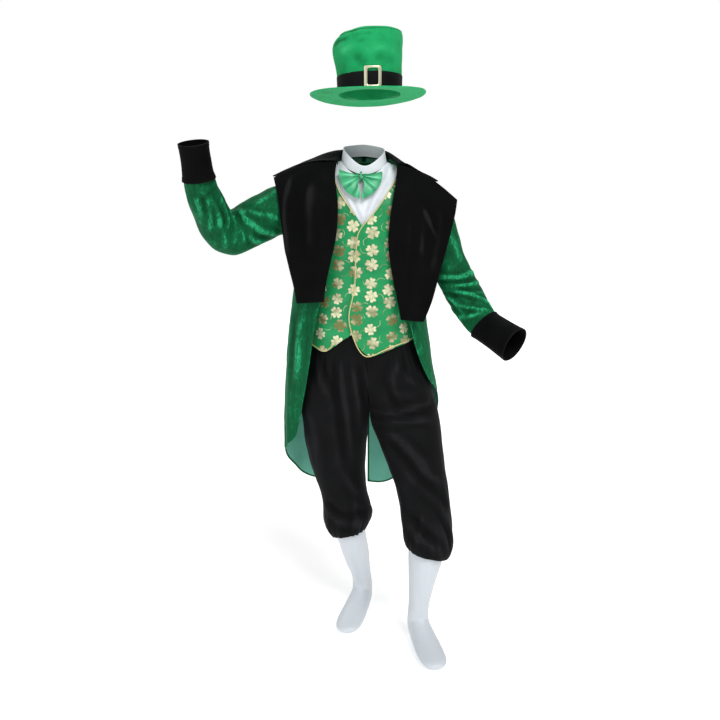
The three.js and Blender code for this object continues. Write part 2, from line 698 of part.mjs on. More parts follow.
const coatPanels = {};
['left', 'right'].forEach((side) => {
  coatPanels[`back_${side}`] = coatBack(side);
  coatPanels[`front_${side}`] = coatFront(side);
});
Object.entries(coatPanels).forEach(([name, grid]) => {
  addPiece(`coat_${name}`, clothWall(grid, awayFromAxis, VELVET), GREEN_VELVET);
});
const coatLayers = Object.values(coatPanels).map((grid) => layerOf(grid, awayFromAxis));
const sleeves = {
  left: sleeveGrid('left', LEFT_ARM, LEFT_SLEEVE_FOLDS),
  right: sleeveGrid('right', RIGHT_ARM, RIGHT_SLEEVE_FOLDS),
};
Object.values(sleeves).forEach((grid) => keepClear(grid.slice(1), coatLayers, SLEEVE_EASE));
const arms = { left: LEFT_ARM, right: RIGHT_ARM };
const sleeveLayers = Object.entries(arms).map(([side, arm]) => (
  layerOf(sleeves[side], awayFromArm(arm), true)));
Object.entries(arms).forEach(([side, arm]) => {
  const outward = awayFromArm(arm);
  addPiece(`coat_sleeve_${side}`, clothWall(sleeves[side], outward, VELVET, true), GREEN_VELVET);
  addPiece(`coat_cuff_${side}`, clothWall(cuffGrid(side, arm), outward, CUFF_WALL, true), BLACK_VELVET);
});
const lapels = { left: sheetBetween(LEFT_LAPEL, 12, 7), right: sheetBetween(RIGHT_LAPEL, 12, 7) };
Object.entries(lapels).forEach(([side, grid]) => {
  keepClear(grid, sleeveLayers, DOUBLE_VELVET + SLEEVE_EASE + 2);
  keepClear(grid, coatLayers, DOUBLE_VELVET + SEAT_GAP);
  addPiece(`coat_lapel_${side}`, clothWall(grid, awayFromAxis, DOUBLE_VELVET), BLACK_VELVET);
});
const lapelLayers = Object.values(lapels).map((grid) => layerOf(grid, awayFromAxis));
const collar = keepClear(
  collarGrid(),
  [...coatLayers, ...sleeveLayers, ...lapelLayers],
  DOUBLE_VELVET + SEAT_GAP,
);
addPiece('coat_collar', clothWall(collar, awayFromAxis, DOUBLE_VELVET), BLACK_VELVET);

// Breeches: each leg is one panel from the centre front round the outside to the centre back.
// Below the crotch it closes at the inseam. `outer` and `inner` are where a level's ring reaches in x.
const LEFT_LEG = [
  { z: 1050, outer: 166, inner: -166, front: -119, back: 102 },
  { z: 1000, outer: 171, inner: -170, front: -121, back: 114 },
  { z: 950, outer: 181, inner: -160, front: -123, back: 122 },
  { z: 900, outer: 203, inner: -130, front: -129, back: 126 },
  { z: 850, outer: 217, inner: -95, front: -130, back: 118 },
  { z: 800, outer: 230, inner: -50, front: -136, back: 104 },
  { z: 755, outer: 243, inner: -14, front: -143, back: 84 },
  { z: 715, outer: 254, inner: 20.4, front: -150, back: 62 },
  { z: 660, outer: 260, inner: 46, front: -162, back: 30 },
  { z: 600, outer: 266, inner: 69, front: -178, back: 0 },
  { z: 541, outer: 273, inner: 97, front: -196, back: -28 },
  { z: 490, outer: 280, inner: 110, front: -214, back: -52 },
  { z: 437, outer: 286, inner: 116, front: -236, back: -76 },
  { z: 390, outer: 290, inner: 119, front: -264, back: -98 },
  { z: 352, outer: 287, inner: 124, front: -270, back: -106 },
  { z: 330, outer: 275, inner: 132, front: -261, back: -119 },
];
const RIGHT_LEG = [
  { z: 1050, outer: -166, inner: 166, front: -119, back: 102 },
  { z: 1000, outer: -177, inner: 170, front: -121, back: 114 },
  { z: 950, outer: -181, inner: 160, front: -124, back: 122 },
  { z: 900, outer: -191, inner: 130, front: -126, back: 128 },
  { z: 850, outer: -200, inner: 95, front: -124, back: 124 },
  { z: 800, outer: -212, inner: 62, front: -124, back: 112 },
  { z: 755, outer: -213, inner: 36, front: -122, back: 98 },
  { z: 715, outer: -209, inner: 19.6, front: -118, back: 84 },
  { z: 660, outer: -203, inner: 11, front: -116, back: 68 },
  { z: 600, outer: -192, inner: 5, front: -116, back: 54 },
  { z: 541, outer: -174, inner: 1, front: -120, back: 38 },
  { z: 490, outer: -151, inner: 8, front: -128, back: 20 },
  { z: 440, outer: -134, inner: 16, front: -140, back: 6 },
  { z: 405, outer: -133, inner: 30, front: -150, back: 0 },
  { z: 375, outer: -124, inner: 26, front: -154, back: -8 },
  { z: 353, outer: -108, inner: 11, front: -146, back: -20 },
];
// The seam between the two halves, down the front, under the crotch and up the back
const CENTRE_SEAM = [
  { z: 1050, x: 0, front: -118, back: 102 },
  { z: 1000, x: 2, front: -120, back: 113 },
  { z: 950, x: 5, front: -121, back: 120 },
  { z: 900, x: 8, front: -120, back: 123 },
  { z: 850, x: 11, front: -110, back: 116 },
  { z: 800, x: 15, front: -96, back: 98 },
  { z: 755, x: 18, front: -74, back: 62 },
  { z: 715, x: 20, front: -28, back: -16 },
];
const CROTCH_ROW = 7;
const LEG_COLUMNS = 23;
const WAIST_GATHERS = { count: 15, deep: 2.6, from: 880, full: 1040 };
const KNEE_GATHERS = { count: 15, deep: 5.5, from: 470, full: 340 };
const SEAM_HALF_GAP = 0.3;
const LEFT_LEG_FOLDS = [
  { row: 6.2, turn: 0.62, deep: 7, long: 0.9, wide: 0.1 },
  { row: 8.4, turn: 0.42, deep: -7, long: 1.3, wide: 0.09 },
  { row: 9.6, turn: 0.25, deep: 7, long: 1.2, wide: 0.08 },
  { row: 11.4, turn: 0.36, deep: -7, long: 0.8, wide: 0.12 },
  { row: 11.2, turn: 0.68, deep: 6, long: 1.0, wide: 0.1 },
  { row: 5.0, turn: 0.3, deep: 5, long: 1.2, wide: 0.06 },
];
const RIGHT_LEG_FOLDS = [
  { row: 5.2, turn: 0.3, deep: 6, long: 1.4, wide: 0.06 },
  { row: 7.6, turn: 0.45, deep: -7, long: 1.3, wide: 0.09 },
  { row: 9.2, turn: 0.3, deep: 7, long: 1.1, wide: 0.09 },
  { row: 10.9, turn: 0.42, deep: -7, long: 0.9, wide: 0.12 },
  { row: 10.8, turn: 0.7, deep: 6, long: 1.0, wide: 0.1 },
  { row: 4.6, turn: 0.6, deep: 6, long: 1.2, wide: 0.08 },
];
// The knee gathers sit lower on the outer side of each knee, fading out up the leg
const KNEE_TILT = { slope: -0.27, from: 25, to: 190 };
// The share of a leg's round, at each end, over which it eases into the seam
const SEAM_EASE = 0.3;
const BLOUSE_TURN = [
  { drop: -5, looser: 5 },
  { drop: 14, looser: 0 },
];

function legFold(folds, row, share) {
  return folds.reduce((sum, fold) => {
    const along = (row - fold.row) / fold.long;
    const round = (share - fold.turn) / fold.wide;
    return sum + fold.deep * Math.exp(-(along ** 2) - round ** 2);
  }, 0);
}

function legGrid(side, table, folds, knee) {
  const sign = side === 'left' ? 1 : -1;
  const rows = between(0, table.length - 1, 14);
  const grid = rows.map((row) => {
    const at = (key) => column(table, key, row);
    const z = at('z');
    const centre = (sign * (at('outer') + at('inner'))) / 2;
    const reach = (sign * (at('outer') - at('inner'))) / 2;
    const middle = (at('front') + at('back')) / 2;
    const depth = (at('back') - at('front')) / 2;
    const open = row < CROTCH_ROW;
    const seamX = sign * lookUp(CENTRE_SEAM, 'x', 'z', z) + SEAM_HALF_GAP;
    const clip = Math.min(Math.max((centre - seamX) / reach, 0), 1) ** (SQUARENESS / 2);
    const start = open ? -THREE.MathUtils.radToDeg(Math.asin(clip)) : -90;
    const gather = WAIST_GATHERS.deep * smoothStep(WAIST_GATHERS.from, WAIST_GATHERS.full, z);
    const knees = KNEE_GATHERS.deep * (1 - smoothStep(KNEE_GATHERS.full, KNEE_GATHERS.from, z));
    return between(0, 1, LEG_COLUMNS).map((share) => {
      const angle = start + (180 - 2 * start) * share;
      const wave = (gather + knees) * (Math.round(share * (LEG_COLUMNS - 1)) % 2 === 0 ? -1 : 1) * 0.5;
      const out = wave + legFold(folds, row, share);
      const sine = Math.sin(radians(angle));
      const cosine = Math.cos(radians(angle));
      const power = 2 / SQUARENESS;
      const ends = Math.max(0, 1 - Math.min(share, 1 - share) / SEAM_EASE) ** 2;
      const x = centre + Math.sign(sine) * reach * Math.abs(sine) ** power + out * sine * (1 - ends);
      const y = middle - Math.sign(cosine) * depth * Math.abs(cosine) ** power - out * cosine * (1 - ends);
      const seamY = lookUp(CENTRE_SEAM, share < 0.5 ? 'front' : 'back', 'z', z);
      const endY = middle - Math.sign(0.5 - share) * depth * Math.cos(radians(start)) ** power;
      const shiftY = open ? (seamY - endY) * ends : 0;
      const insideX = open ? Math.max(x, seamX) : x;
      const part = open ? 0 : (share < 0.5 ? -1 : 1) * SEAM_HALF_GAP * (share === 0 || share === 1 ? 1 : 0);
      return new THREE.Vector3(sign * insideX, y + shiftY + part, z);
    });
  });
  const low = grid[grid.length - 1];
  const floor = low[0].z;
  BLOUSE_TURN.forEach(({ drop, looser }) => {
    const radius = knee.band + looser;
    grid.push(low.map((point, j) => {
      const share = j / (LEG_COLUMNS - 1);
      const turn = radians(-90 + 360 * share);
      const slit = share === 0 ? -SEAM_HALF_GAP : share === 1 ? SEAM_HALF_GAP : 0;
      return new THREE.Vector3(
        knee.x + sign * radius * Math.sin(turn),
        knee.y - radius * Math.cos(turn) + slit,
        floor + drop,
      );
    }));
  });
  grid.flat().forEach((point) => {
    const near = 1 - smoothStep(floor + KNEE_TILT.from, floor + KNEE_TILT.to, point.z);
    point.z += sign * KNEE_TILT.slope * (point.x - knee.x) * near;
  });
  return grid;
}

const KNEES = { left: { x: 202, y: -189, band: 61.5 }, right: { x: -48, y: -82, band: 53 } };
const legs = {
  left: legGrid('left', LEFT_LEG, LEFT_LEG_FOLDS, KNEES.left),
  right: legGrid('right', RIGHT_LEG, RIGHT_LEG_FOLDS, KNEES.right),
};
function awayFromLeg(table) {
  return (point) => {
    const x = (lookUp(table, 'outer', 'z', point.z) + lookUp(table, 'inner', 'z', point.z)) / 2;
    const y = (lookUp(table, 'front', 'z', point.z) + lookUp(table, 'back', 'z', point.z)) / 2;
    return new THREE.Vector3(point.x - x, point.y - y, 0);
  };
}
const legTables = { left: LEFT_LEG, right: RIGHT_LEG };
Object.entries(legTables).forEach(([side, table]) => {
  addPiece(`breeches_${side}`, clothWall(legs[side], awayFromLeg(table), KNIT), BLACK_KNIT);
});
const legLayers = Object.entries(legTables).map(([side, table]) => layerOf(legs[side], awayFromLeg(table)));

// The waistband is a casing gathered over elastic, above the legs' top edge
const WAISTBAND = { foot: 1050.8, height: 34, xReach: 165, yFront: 118, yBack: 101 };
const waistband = between(0, 1, 3).map((rise) => between(0, 360, 25).slice(0, -1).map((turn, j) => {
  const crimp = j % 2 === 0 ? 1 : -1;
  const cosine = Math.cos(radians(turn));
  const depth = cosine >= 0 ? WAISTBAND.yFront : WAISTBAND.yBack;
  return new THREE.Vector3(
    (WAISTBAND.xReach + crimp) * Math.sin(radians(turn)),
    -(depth + crimp) * cosine,
    WAISTBAND.foot + WAISTBAND.height * rise,
  );
}));
addPiece('breeches_waistband', clothWall(waistband, awayFromMiddle, THIN_CLOTH, true), BLACK_KNIT);

// Waistcoat: printed fronts, the left over the right, and a plain back

const VEST_NECK = [
  { z: 1556, left: 102, right: 102 },
  { z: 1535, left: 102, right: 98 },
  { z: 1504, left: 101, right: 92 },
  { z: 1461, left: 72, right: 74 },
  { z: 1408, left: 36, right: 38 },
  { z: 1363, left: -3, right: 9 },
  { z: 1334, left: -24, right: 0 },
  { z: 1263, left: -31, right: 10 },
  { z: 1173, left: -34, right: 14 },
  { z: 1113, left: -47, right: 26 },
  { z: 1058, left: -52, right: 30 },
  { z: 1028, left: -44, right: 22 },
];
const VEST_HEM = [
  { way: 0, left: 1022, right: 1010 },
  { way: 0.25, left: 1000, right: 985 },
  { way: 0.375, left: 993, right: 973 },
  { way: 0.5, left: 986, right: 966 },
  { way: 0.625, left: 977, right: 958 },
  { way: 0.75, left: 962, right: 984 },
  { way: 0.875, left: 944, right: 1010 },
  { way: 1, left: 1028, right: 1030 },
];
const VEST_OVERLAP = { lift: 4, from: 60 };
const VEST_BACK_HEM = 1010;
const VEST_ARMHOLE_WIDER = 1;

function vestFront(side) {
  const sign = side === 'left' ? 1 : -1;
  const lift = side === 'left' ? VEST_OVERLAP.lift : 0;
  return panelGrid({
    form: VEST_FORM,
    sign,
    columns: 9,
    rows: 7,
    startZ: 1308,
    out: (angle) => lift * (1 - smoothStep(VEST_OVERLAP.from / 3, VEST_OVERLAP.from, angle)),
    hem: (way) => lookUp(VEST_HEM, side, 'way', way),
    upper: (place) => [
      90 - SEAM_ANGLE - armholeBite(place, VEST_ARMHOLE_WIDER),
      edgeAngle(VEST_FORM, place, side, VEST_NECK),
    ],
    lower: (z, place, share, edgeZ) => {
      const atEdge = placeOf(VEST_FORM, 'zBack', edgeZ);
      return [90 - SEAM_ANGLE, angleAt(VEST_FORM, atEdge, sign, lookUp(VEST_NECK, side, 'z', edgeZ))];
    },
  });
}

function vestBack() {
  const half = (sign, from, to) => panelGrid({
    form: VEST_FORM,
    sign,
    columns: 5,
    rows: 5,
    startZ: 1320,
    out: () => 0,
    hem: () => VEST_BACK_HEM,
    upper: (place) => (from === 180
      ? [180, 90 + SEAM_ANGLE + armholeBite(place, VEST_ARMHOLE_WIDER)]
      : [90 + SEAM_ANGLE + armholeBite(place, VEST_ARMHOLE_WIDER), 180]),
    lower: () => [from, to],
  });
  const right = half(-1, 90 + SEAM_ANGLE, 180);
  const left = half(1, 180, 90 + SEAM_ANGLE);
  return right.map((row, i) => [...row, ...left[i].slice(1)]);
}

// Piping: a round cord along a run of edge points, moved out to lie on the cloth
const PIPING_RADIUS = 2.2;
const PIPING_INSET = 0.12;

function piping(points, normals, steps) {
  const lift = PIPING_RADIUS + LAYER_GAP;
  const lifted = points.map((point, i) => point.clone().addScaledVector(normals[i], lift));
  const section = new THREE.Shape();
  section.absarc(0, 0, PIPING_RADIUS, 0, Math.PI * 2);
  return new THREE.ExtrudeGeometry(section, {
    curveSegments: 3,
    steps,
    bevelEnabled: false,
    extrudePath: new THREE.CatmullRomCurve3(lifted, false, 'centripetal'),
  });
}

// The neck edge and the hem of a front, taken a little in from its very edge
function edgeRun(grid, normals, neckRows, hemColumns) {
  const last = grid[0].length - 1;
  const inset = (p, q) => p.clone().lerp(q, PIPING_INSET);
  const neck = neckRows.map((i) => [inset(grid[i][last], grid[i][last - 1]), normals[i][last]]);
  const end = grid.length - 1;
  const hem = hemColumns.map((j) => [inset(grid[end][j], grid[end - 1][j]), normals[end][j]]);
  const run = [...neck, ...hem];
  return [run.map((pair) => pair[0]), run.map((pair) => pair[1])];
}

const vest = { left: vestFront('left'), right: vestFront('right') };
const vestPieces = { front_left: vest.left, front_right: vest.right, back: vestBack() };
Object.entries(vestPieces).forEach(([name, grid]) => {
  keepClear(grid, legLayers, THIN_CLOTH + LAYER_GAP);
  addPiece(`vest_${name}`, clothWall(grid, awayFromAxis, THIN_CLOTH), PRINTED_SATIN);
});

// The piping starts under the lapels; the right front's is hidden where the left front covers it
const PIPING_TOP = 1512;
const CLOSING_TOP = 1374;
const pipingRuns = {
  left: { low: 1030, columns: [7, 6, 5, 4, 3, 2, 1], steps: 34 },
  right_neck: { low: CLOSING_TOP, columns: [], steps: 12 },
  right_hem: { low: Infinity, columns: [6, 5, 4, 3, 2, 1], steps: 14 },
};
Object.entries(pipingRuns).forEach(([name, { low, columns, steps }]) => {
  const grid = vest[name.split('_')[0]];
  const rows = grid.map((row, i) => i).filter((i) => {
    const { z } = grid[i][grid[i].length - 1];
    return z < PIPING_TOP && z > low;
  });
  const [points, normals] = edgeRun(grid, gridNormals(grid, awayFromAxis, false), rows, columns);
  addPiece(`vest_piping_${name}`, piping(points, normals, steps), GOLD_PIPING);
});

// Shirt front with its stand collar

const BIB_EDGE = [
  { place: 0, angle: 88 },
  { place: 0.5, angle: 84 },
  { place: 1, angle: 72 },
  { place: 1.6, angle: 50 },
  { place: 2.4, angle: 41 },
  { place: 4, angle: 38 },
  { place: 4.6, angle: 24 },
];

const bib = [0, 0.5, 1, 1.5, 2, 2.6, 3.3, 4, 4.6].map((place) => {
  const edge = lookUp(BIB_EDGE, 'angle', 'place', place);
  return between(-edge, edge, 13).map((angle) => formPoint(SHIRT_FORM, place, angle));
});
addPiece('shirt_front', clothWall(bib, awayFromAxis, THIN_CLOTH), WHITE_COTTON);

// The stand collar: its foot sits on the neck ring and its top dips to a point at the front
const STAND = [
  { angle: -180, xFoot: 70, yFoot: 64, foot: 1566, top: 1602 },
  { angle: -90, xFoot: 71, yFoot: 66, foot: 1553, top: 1590 },
  { angle: -40, xFoot: 71, yFoot: 68, foot: 1524, top: 1562 },
  { angle: 0, xFoot: 71, yFoot: 68, foot: 1508, top: 1532 },
  { angle: 40, xFoot: 71, yFoot: 68, foot: 1522, top: 1556 },
  { angle: 90, xFoot: 71, yFoot: 66, foot: 1549, top: 1583 },
  { angle: 180, xFoot: 70, yFoot: 64, foot: 1566, top: 1602 },
];
const STAND_LEAN = { sideways: 6, forward: 8.4 };
const STAND_LIFT = 2.2;
const STAND_STEPS = 24;

const stand = between(0, 1, 3).map((rise) => (
  between(-180, 180, STAND_STEPS + 1).slice(0, -1).map((angle) => {
    const at = (key) => lookUp(STAND, key, 'angle', angle);
    const power = 2 / SQUARENESS;
    const sine = Math.sin(radians(angle));
    const cosine = Math.cos(radians(angle));
    return new THREE.Vector3(
      Math.sign(sine) * (at('xFoot') - STAND_LEAN.sideways * rise) * Math.abs(sine) ** power,
      -Math.sign(cosine) * (at('yFoot') - STAND_LEAN.forward * rise) * Math.abs(cosine) ** power,
      at('foot') + STAND_LIFT + (at('top') - at('foot')) * rise,
    );
  })));
addPiece('shirt_collar', clothWall(stand, awayFromMiddle, THIN_CLOTH, true), WHITE_COTTON);

// Bow tie: two loops that fan out from a pinch at their top, and the band round the pinch
const PINCH = {
  x: -9,
  y: -83.8,
  z: 1506,
  halfWidth: 4,
  halfHeight: 13,
  halfDepth: 12.5,
  bulge: 1.5,
  gathered: 7.02,
  wall: 1.5,
};
const BOW_LOOPS = {
  left: [
    { fan: 0, angle: 12, reach: 66 },
    { fan: 0.33, angle: -12, reach: 64 },
    { fan: 0.66, angle: -45, reach: 62 },
    { fan: 1, angle: -89, reach: 69 },
  ],
  right: [
    { fan: 0, angle: 16, reach: 70 },
    { fan: 0.33, angle: -10, reach: 66 },
    { fan: 0.66, angle: -42, reach: 64 },
    { fan: 1, angle: -88, reach: 68 },
  ],
};
// Pleats run from the pinch and grow flatter towards the loop's end and on its back
const BOW_PLEATS = { count: 3, deep: 2.6, flatter: 0.4, behind: 0.3 };
// How soon a loop opens from its pinch, and how it fills out
const BOW_OPENING = { power: 0.8, pinched: 0.12, spread: 1.6 };
const BOW_PLUMP = { flat: 3.4, belly: 5.5, open: 4.4 };
const BOW_PINCH_REACH = 4;
const BOW_CLOTH = 1.4;
const BOW_LEAN = 0.5;
const BOW_CLEAR = 2;

function bowGrid(side) {
  const sign = side === 'left' ? 1 : -1;
  const table = BOW_LOOPS[side];
  return between(0, 1, 10).map((path) => {
    const turn = Math.PI * path;
    const open = Math.sin(turn) ** BOW_OPENING.power;
    const belly = Math.sin(Math.PI * Math.min(1, open));
    const depth = BOW_PLUMP.flat + BOW_PLUMP.belly * belly + BOW_PLUMP.open * open;
    const spread = Math.min(1, BOW_OPENING.pinched + BOW_OPENING.spread * open);
    const layer = path < 0.5 ? 1 : BOW_PLEATS.behind;
    const pleatDepth = BOW_PLEATS.deep * layer * (1 - BOW_PLEATS.flatter * open);
    return between(0, 1, 11).map((fan) => {
      const angle = radians(lookUp(table, 'angle', 'fan', fan));
      const reach = BOW_PINCH_REACH + (lookUp(table, 'reach', 'fan', fan) - BOW_PINCH_REACH) * open;
      const pleat = pleatDepth * Math.cos(2 * Math.PI * BOW_PLEATS.count * fan);
      const tall = PINCH.gathered * (1 - 2 * fan) * (1 - spread);
      const x = PINCH.x + sign * (1 + reach * Math.cos(angle * spread));
      const z = PINCH.z + reach * Math.sin(angle * spread) * spread + tall;
      const lean = (PINCH.z - z) * BOW_LEAN;
      return new THREE.Vector3(x, PINCH.y - lean - Math.cos(turn) * depth - pleat, z);
    });
  });
}

function awayFromLoop(point) {
  return new THREE.Vector3(0, point.y - PINCH.y + (PINCH.z - point.z) * BOW_LEAN, 0);
}
const underBow = [
  layerOf(bib, awayFromAxis),
  ...Object.values(vest).map((grid) => layerOf(grid, awayFromAxis)),
  ...lapelLayers,
];
Object.keys(BOW_LOOPS).forEach((side) => {
  const loop = keepClear(bowGrid(side), underBow, BOW_CLEAR);
  addPiece(`bow_${side}`, clothWall(loop, awayFromLoop, BOW_CLOTH), BOW_SATIN);
});
const pinchBand = between(-1, 1, 3).map((along) => between(0, 360, 17).slice(0, -1).map((turn) => (
  new THREE.Vector3(
    PINCH.x + PINCH.halfWidth * along,
    PINCH.y - (PINCH.halfDepth + PINCH.bulge * (1 - along ** 2)) * Math.cos(radians(turn)),
    PINCH.z + (PINCH.halfHeight + PINCH.bulge * (1 - along ** 2)) * Math.sin(radians(turn)),
  ))));
const outOfPinch = (point) => new THREE.Vector3(0, point.y - PINCH.y, point.z - PINCH.z);
addPiece('bow_knot', clothWall(pinchBand, outOfPinch, PINCH.wall, true), BOW_SATIN);

// Stockings: rings down the calf, round the heel and along the foot. `ahead` is along the foot from the
// ankle, `tilt` turns a ring from level to upright.
const LEFT_STOCKING = [
  { x: 202, y: -189, z: 386, wide: 59, deep: 59 },
  { x: 202, y: -189, z: 330, wide: 60.6, deep: 60.6 },
  { x: 195, y: -190, z: 280, wide: 54, deep: 57 },
  { x: 188, y: -191, z: 225, wide: 44, deep: 49 },
  { x: 181, y: -192, z: 165, wide: 35, deep: 39 },
];
const RIGHT_STOCKING = [
  { x: -48, y: -82, z: 412, wide: 51, deep: 51 },
  { x: -48, y: -82, z: 352, wide: 51.8, deep: 51.8 },
  { x: -34, y: -58, z: 288, wide: 49, deep: 54 },
  { x: -24, y: -30, z: 220, wide: 43, deep: 48 },
  { x: -12, y: -4, z: 160, wide: 35, deep: 39 },
];
const FOOT = [
  { ahead: 0, z: 124, tilt: 6, wide: 34, deep: 38 },
  { ahead: -2, z: 98, tilt: 22, wide: 35, deep: 41 },
  { ahead: 0, z: 74, tilt: 42, wide: 36, deep: 50 },
  { ahead: 14, z: 64, tilt: 60, wide: 37, deep: 50 },
  { ahead: 34, z: 59, tilt: 74, wide: 39, deep: 42 },
  { ahead: 75, z: 50, tilt: 84, wide: 43, deep: 31 },
  { ahead: 125, z: 42, tilt: 90, wide: 47, deep: 23 },
  { ahead: 168, z: 37, tilt: 90, wide: 44, deep: 17 },
  { ahead: 192, z: 34, tilt: 90, wide: 30, deep: 12 },
];
const TOE = { outer: 204, inner: 200, z: 33 };
const ANKLES = {
  left: { x: 177, y: -192, yaw: 14 },
  right: { x: -6, y: 12, yaw: -17 },
};
const STOCKING_STEPS = 14;

function stocking(side, calf) {
  const ankle = ANKLES[side];
  const ahead = new THREE.Vector3(Math.sin(radians(ankle.yaw)), -Math.cos(radians(ankle.yaw)), 0);
  const aside = new THREE.Vector3(-ahead.y, ahead.x, 0);
  const at = (along, z) => new THREE.Vector3(ankle.x, ankle.y, z).addScaledVector(ahead, along);
  const upward = new THREE.Vector3(0, 0, 1);
  const steps = between(0, 360, STOCKING_STEPS + 1).slice(0, -1);
  const ring = (centre, tilt, wide, deep) => steps.map((turn) => {
    const forward = deep * Math.cos(radians(turn));
    return centre.clone()
      .addScaledVector(aside, wide * Math.sin(radians(turn)))
      .addScaledVector(ahead, forward * Math.cos(radians(tilt)))
      .addScaledVector(upward, forward * Math.sin(radians(tilt)));
  });
  const grid = [
    ...between(0, calf.length - 1, 5).map((row) => {
      const [x, y, z, wide, deep] = ['x', 'y', 'z', 'wide', 'deep'].map((key) => column(calf, key, row));
      return ring(new THREE.Vector3(x, y, z), 0, wide, deep);
    }),
    ...FOOT.map((row) => ring(at(row.ahead, row.z), row.tilt, row.wide, row.deep)),
  ];
  const middles = grid.map((row) => (
    row.reduce((sum, p) => sum.add(p), new THREE.Vector3()).divideScalar(row.length)));
  const outward = (point) => {
    const nearest = middles.reduce((a, b) => (b.distanceTo(point) < a.distanceTo(point) ? b : a));
    return point.clone().sub(nearest);
  };
  const tip = { outer: at(TOE.outer, TOE.z), inner: at(TOE.inner, TOE.z) };
  return clothWall(grid, outward, KNIT, true, tip);
}
addPiece('stocking_left', stocking('left', LEFT_STOCKING), WHITE_KNIT);
addPiece('stocking_right', stocking('right', RIGHT_STOCKING), WHITE_KNIT);

// Top hat, made level round its own middle and then set on the head, tipped back and to one side
const HAT = { x: 17, y: 10, z: 1752, tipBack: 3.5, roll: 1.2 };
const HAT_FELT_WALL = 2.4;
const BRIM_WALL = 3;
const HAT_STEPS = 28;
// The crown's rings: height, sideways shift, half width, half depth, and how much lower the right side is
const CROWN = [
  { z: 2, x: 0, wide: 99, deep: 108, slump: 0 },
  { z: 54, x: 1, wide: 100, deep: 110, slump: 0 },
  { z: 98, x: -2, wide: 105, deep: 115, slump: 1 },
  { z: 138, x: -5, wide: 110, deep: 120, slump: 3 },
  { z: 162, x: -1, wide: 107, deep: 117, slump: 7 },
  { z: 176, x: 5, wide: 98, deep: 108, slump: 11 },
];
const TOP = [
  { z: 178.2, share: 1 },
  { z: 185, share: 0.92 },
  { z: 189, share: 0.6 },
];
const DOME_HEIGHT = 185;
const BRIM = [
  { share: 0, drop: 0 },
  { share: 0.3, drop: 2 },
  { share: 0.65, drop: 7 },
  { share: 1, drop: 15 },
];
const BRIM_REACH = { wide: 181, deep: 192, innerWide: 97, innerDeep: 106 };
// How much of the drop the front and back get, how far the sides curl up, the sideways shift of the rim
// and the height of the inner edge
const BRIM_BEND = { front: 0.55, curl: 0.75, shift: -5, lift: 1.2 };
const HAT_BAND = { low: 4, high: 51, wall: 1.6 };
const BUCKLE = { angle: 5, low: 3, high: 65, halfWidth: 28, sideBar: 11.5, endBar: 8, wall: 3 };

const hat = new THREE.Group();
hat.position.set(HAT.x, HAT.y, HAT.z);
hat.rotation.set(radians(-HAT.tipBack), radians(-HAT.roll), 0);
costume.add(hat);

function crownPoint(place, degrees, out = 0) {
  const at = (key) => column(CROWN, key, place);
  const sine = Math.sin(radians(degrees));
  const cosine = Math.cos(radians(degrees));
  const lowered = at('slump') * (0.5 - 0.5 * sine);
  return new THREE.Vector3(
    at('x') + (at('wide') + out) * sine,
    -(at('deep') + out) * cosine,
    at('z') - lowered,
  );
}
const aroundHat = between(0, 360, HAT_STEPS + 1).slice(0, -1);
const upFromHat = () => new THREE.Vector3(0, 0, 1);

const crown = between(0, CROWN.length - 1, 6).map((place) => (
  aroundHat.map((turn) => crownPoint(place, turn))));
addPiece('hat_crown', clothWall(crown, awayFromMiddle, HAT_FELT_WALL, true), HAT_FELT, hat);

const crownTop = TOP.map(({ z, share }) => aroundHat.map((turn) => {
  const edge = crownPoint(CROWN.length - 1, turn);
  const middle = column(CROWN, 'x', CROWN.length - 1);
  const rim = CROWN[CROWN.length - 1].z;
  return new THREE.Vector3(middle + (edge.x - middle) * share, edge.y * share, z + (edge.z - rim) * share);
}));
const dome = {
  outer: new THREE.Vector3(CROWN[CROWN.length - 1].x, 0, DOME_HEIGHT),
  inner: new THREE.Vector3(CROWN[CROWN.length - 1].x, 0, DOME_HEIGHT - HAT_FELT_WALL),
};
addPiece('hat_top', clothWall(crownTop, upFromHat, HAT_FELT_WALL, true, dome), HAT_FELT, hat);

const brim = between(0, BRIM.length - 1, 4).map((row) => aroundHat.map((turn) => {
  const share = column(BRIM, 'share', row);
  const sine = Math.sin(radians(turn));
  const cosine = Math.cos(radians(turn));
  const wide = BRIM_REACH.innerWide + (BRIM_REACH.wide - BRIM_REACH.innerWide) * share;
  const deep = BRIM_REACH.innerDeep + (BRIM_REACH.deep - BRIM_REACH.innerDeep) * share;
  const drop = column(BRIM, 'drop', row) * (BRIM_BEND.front - BRIM_BEND.curl * sine ** 2);
  return new THREE.Vector3(wide * sine + BRIM_BEND.shift * share, -deep * cosine, BRIM_BEND.lift - drop);
}));
addPiece('hat_brim', clothWall(brim, upFromHat, BRIM_WALL, true), HAT_FELT, hat);

function crownAt(height, degrees, out) {
  return crownPoint(placeOf(CROWN, 'z', height), degrees, out);
}
const band = between(HAT_BAND.low, HAT_BAND.high, 3).map((height) => (
  aroundHat.map((turn) => crownAt(height, turn, HAT_BAND.wall + LAYER_GAP))));
addPiece('hat_band', clothWall(band, awayFromMiddle, HAT_BAND.wall, true), BLACK_RIBBON, hat);

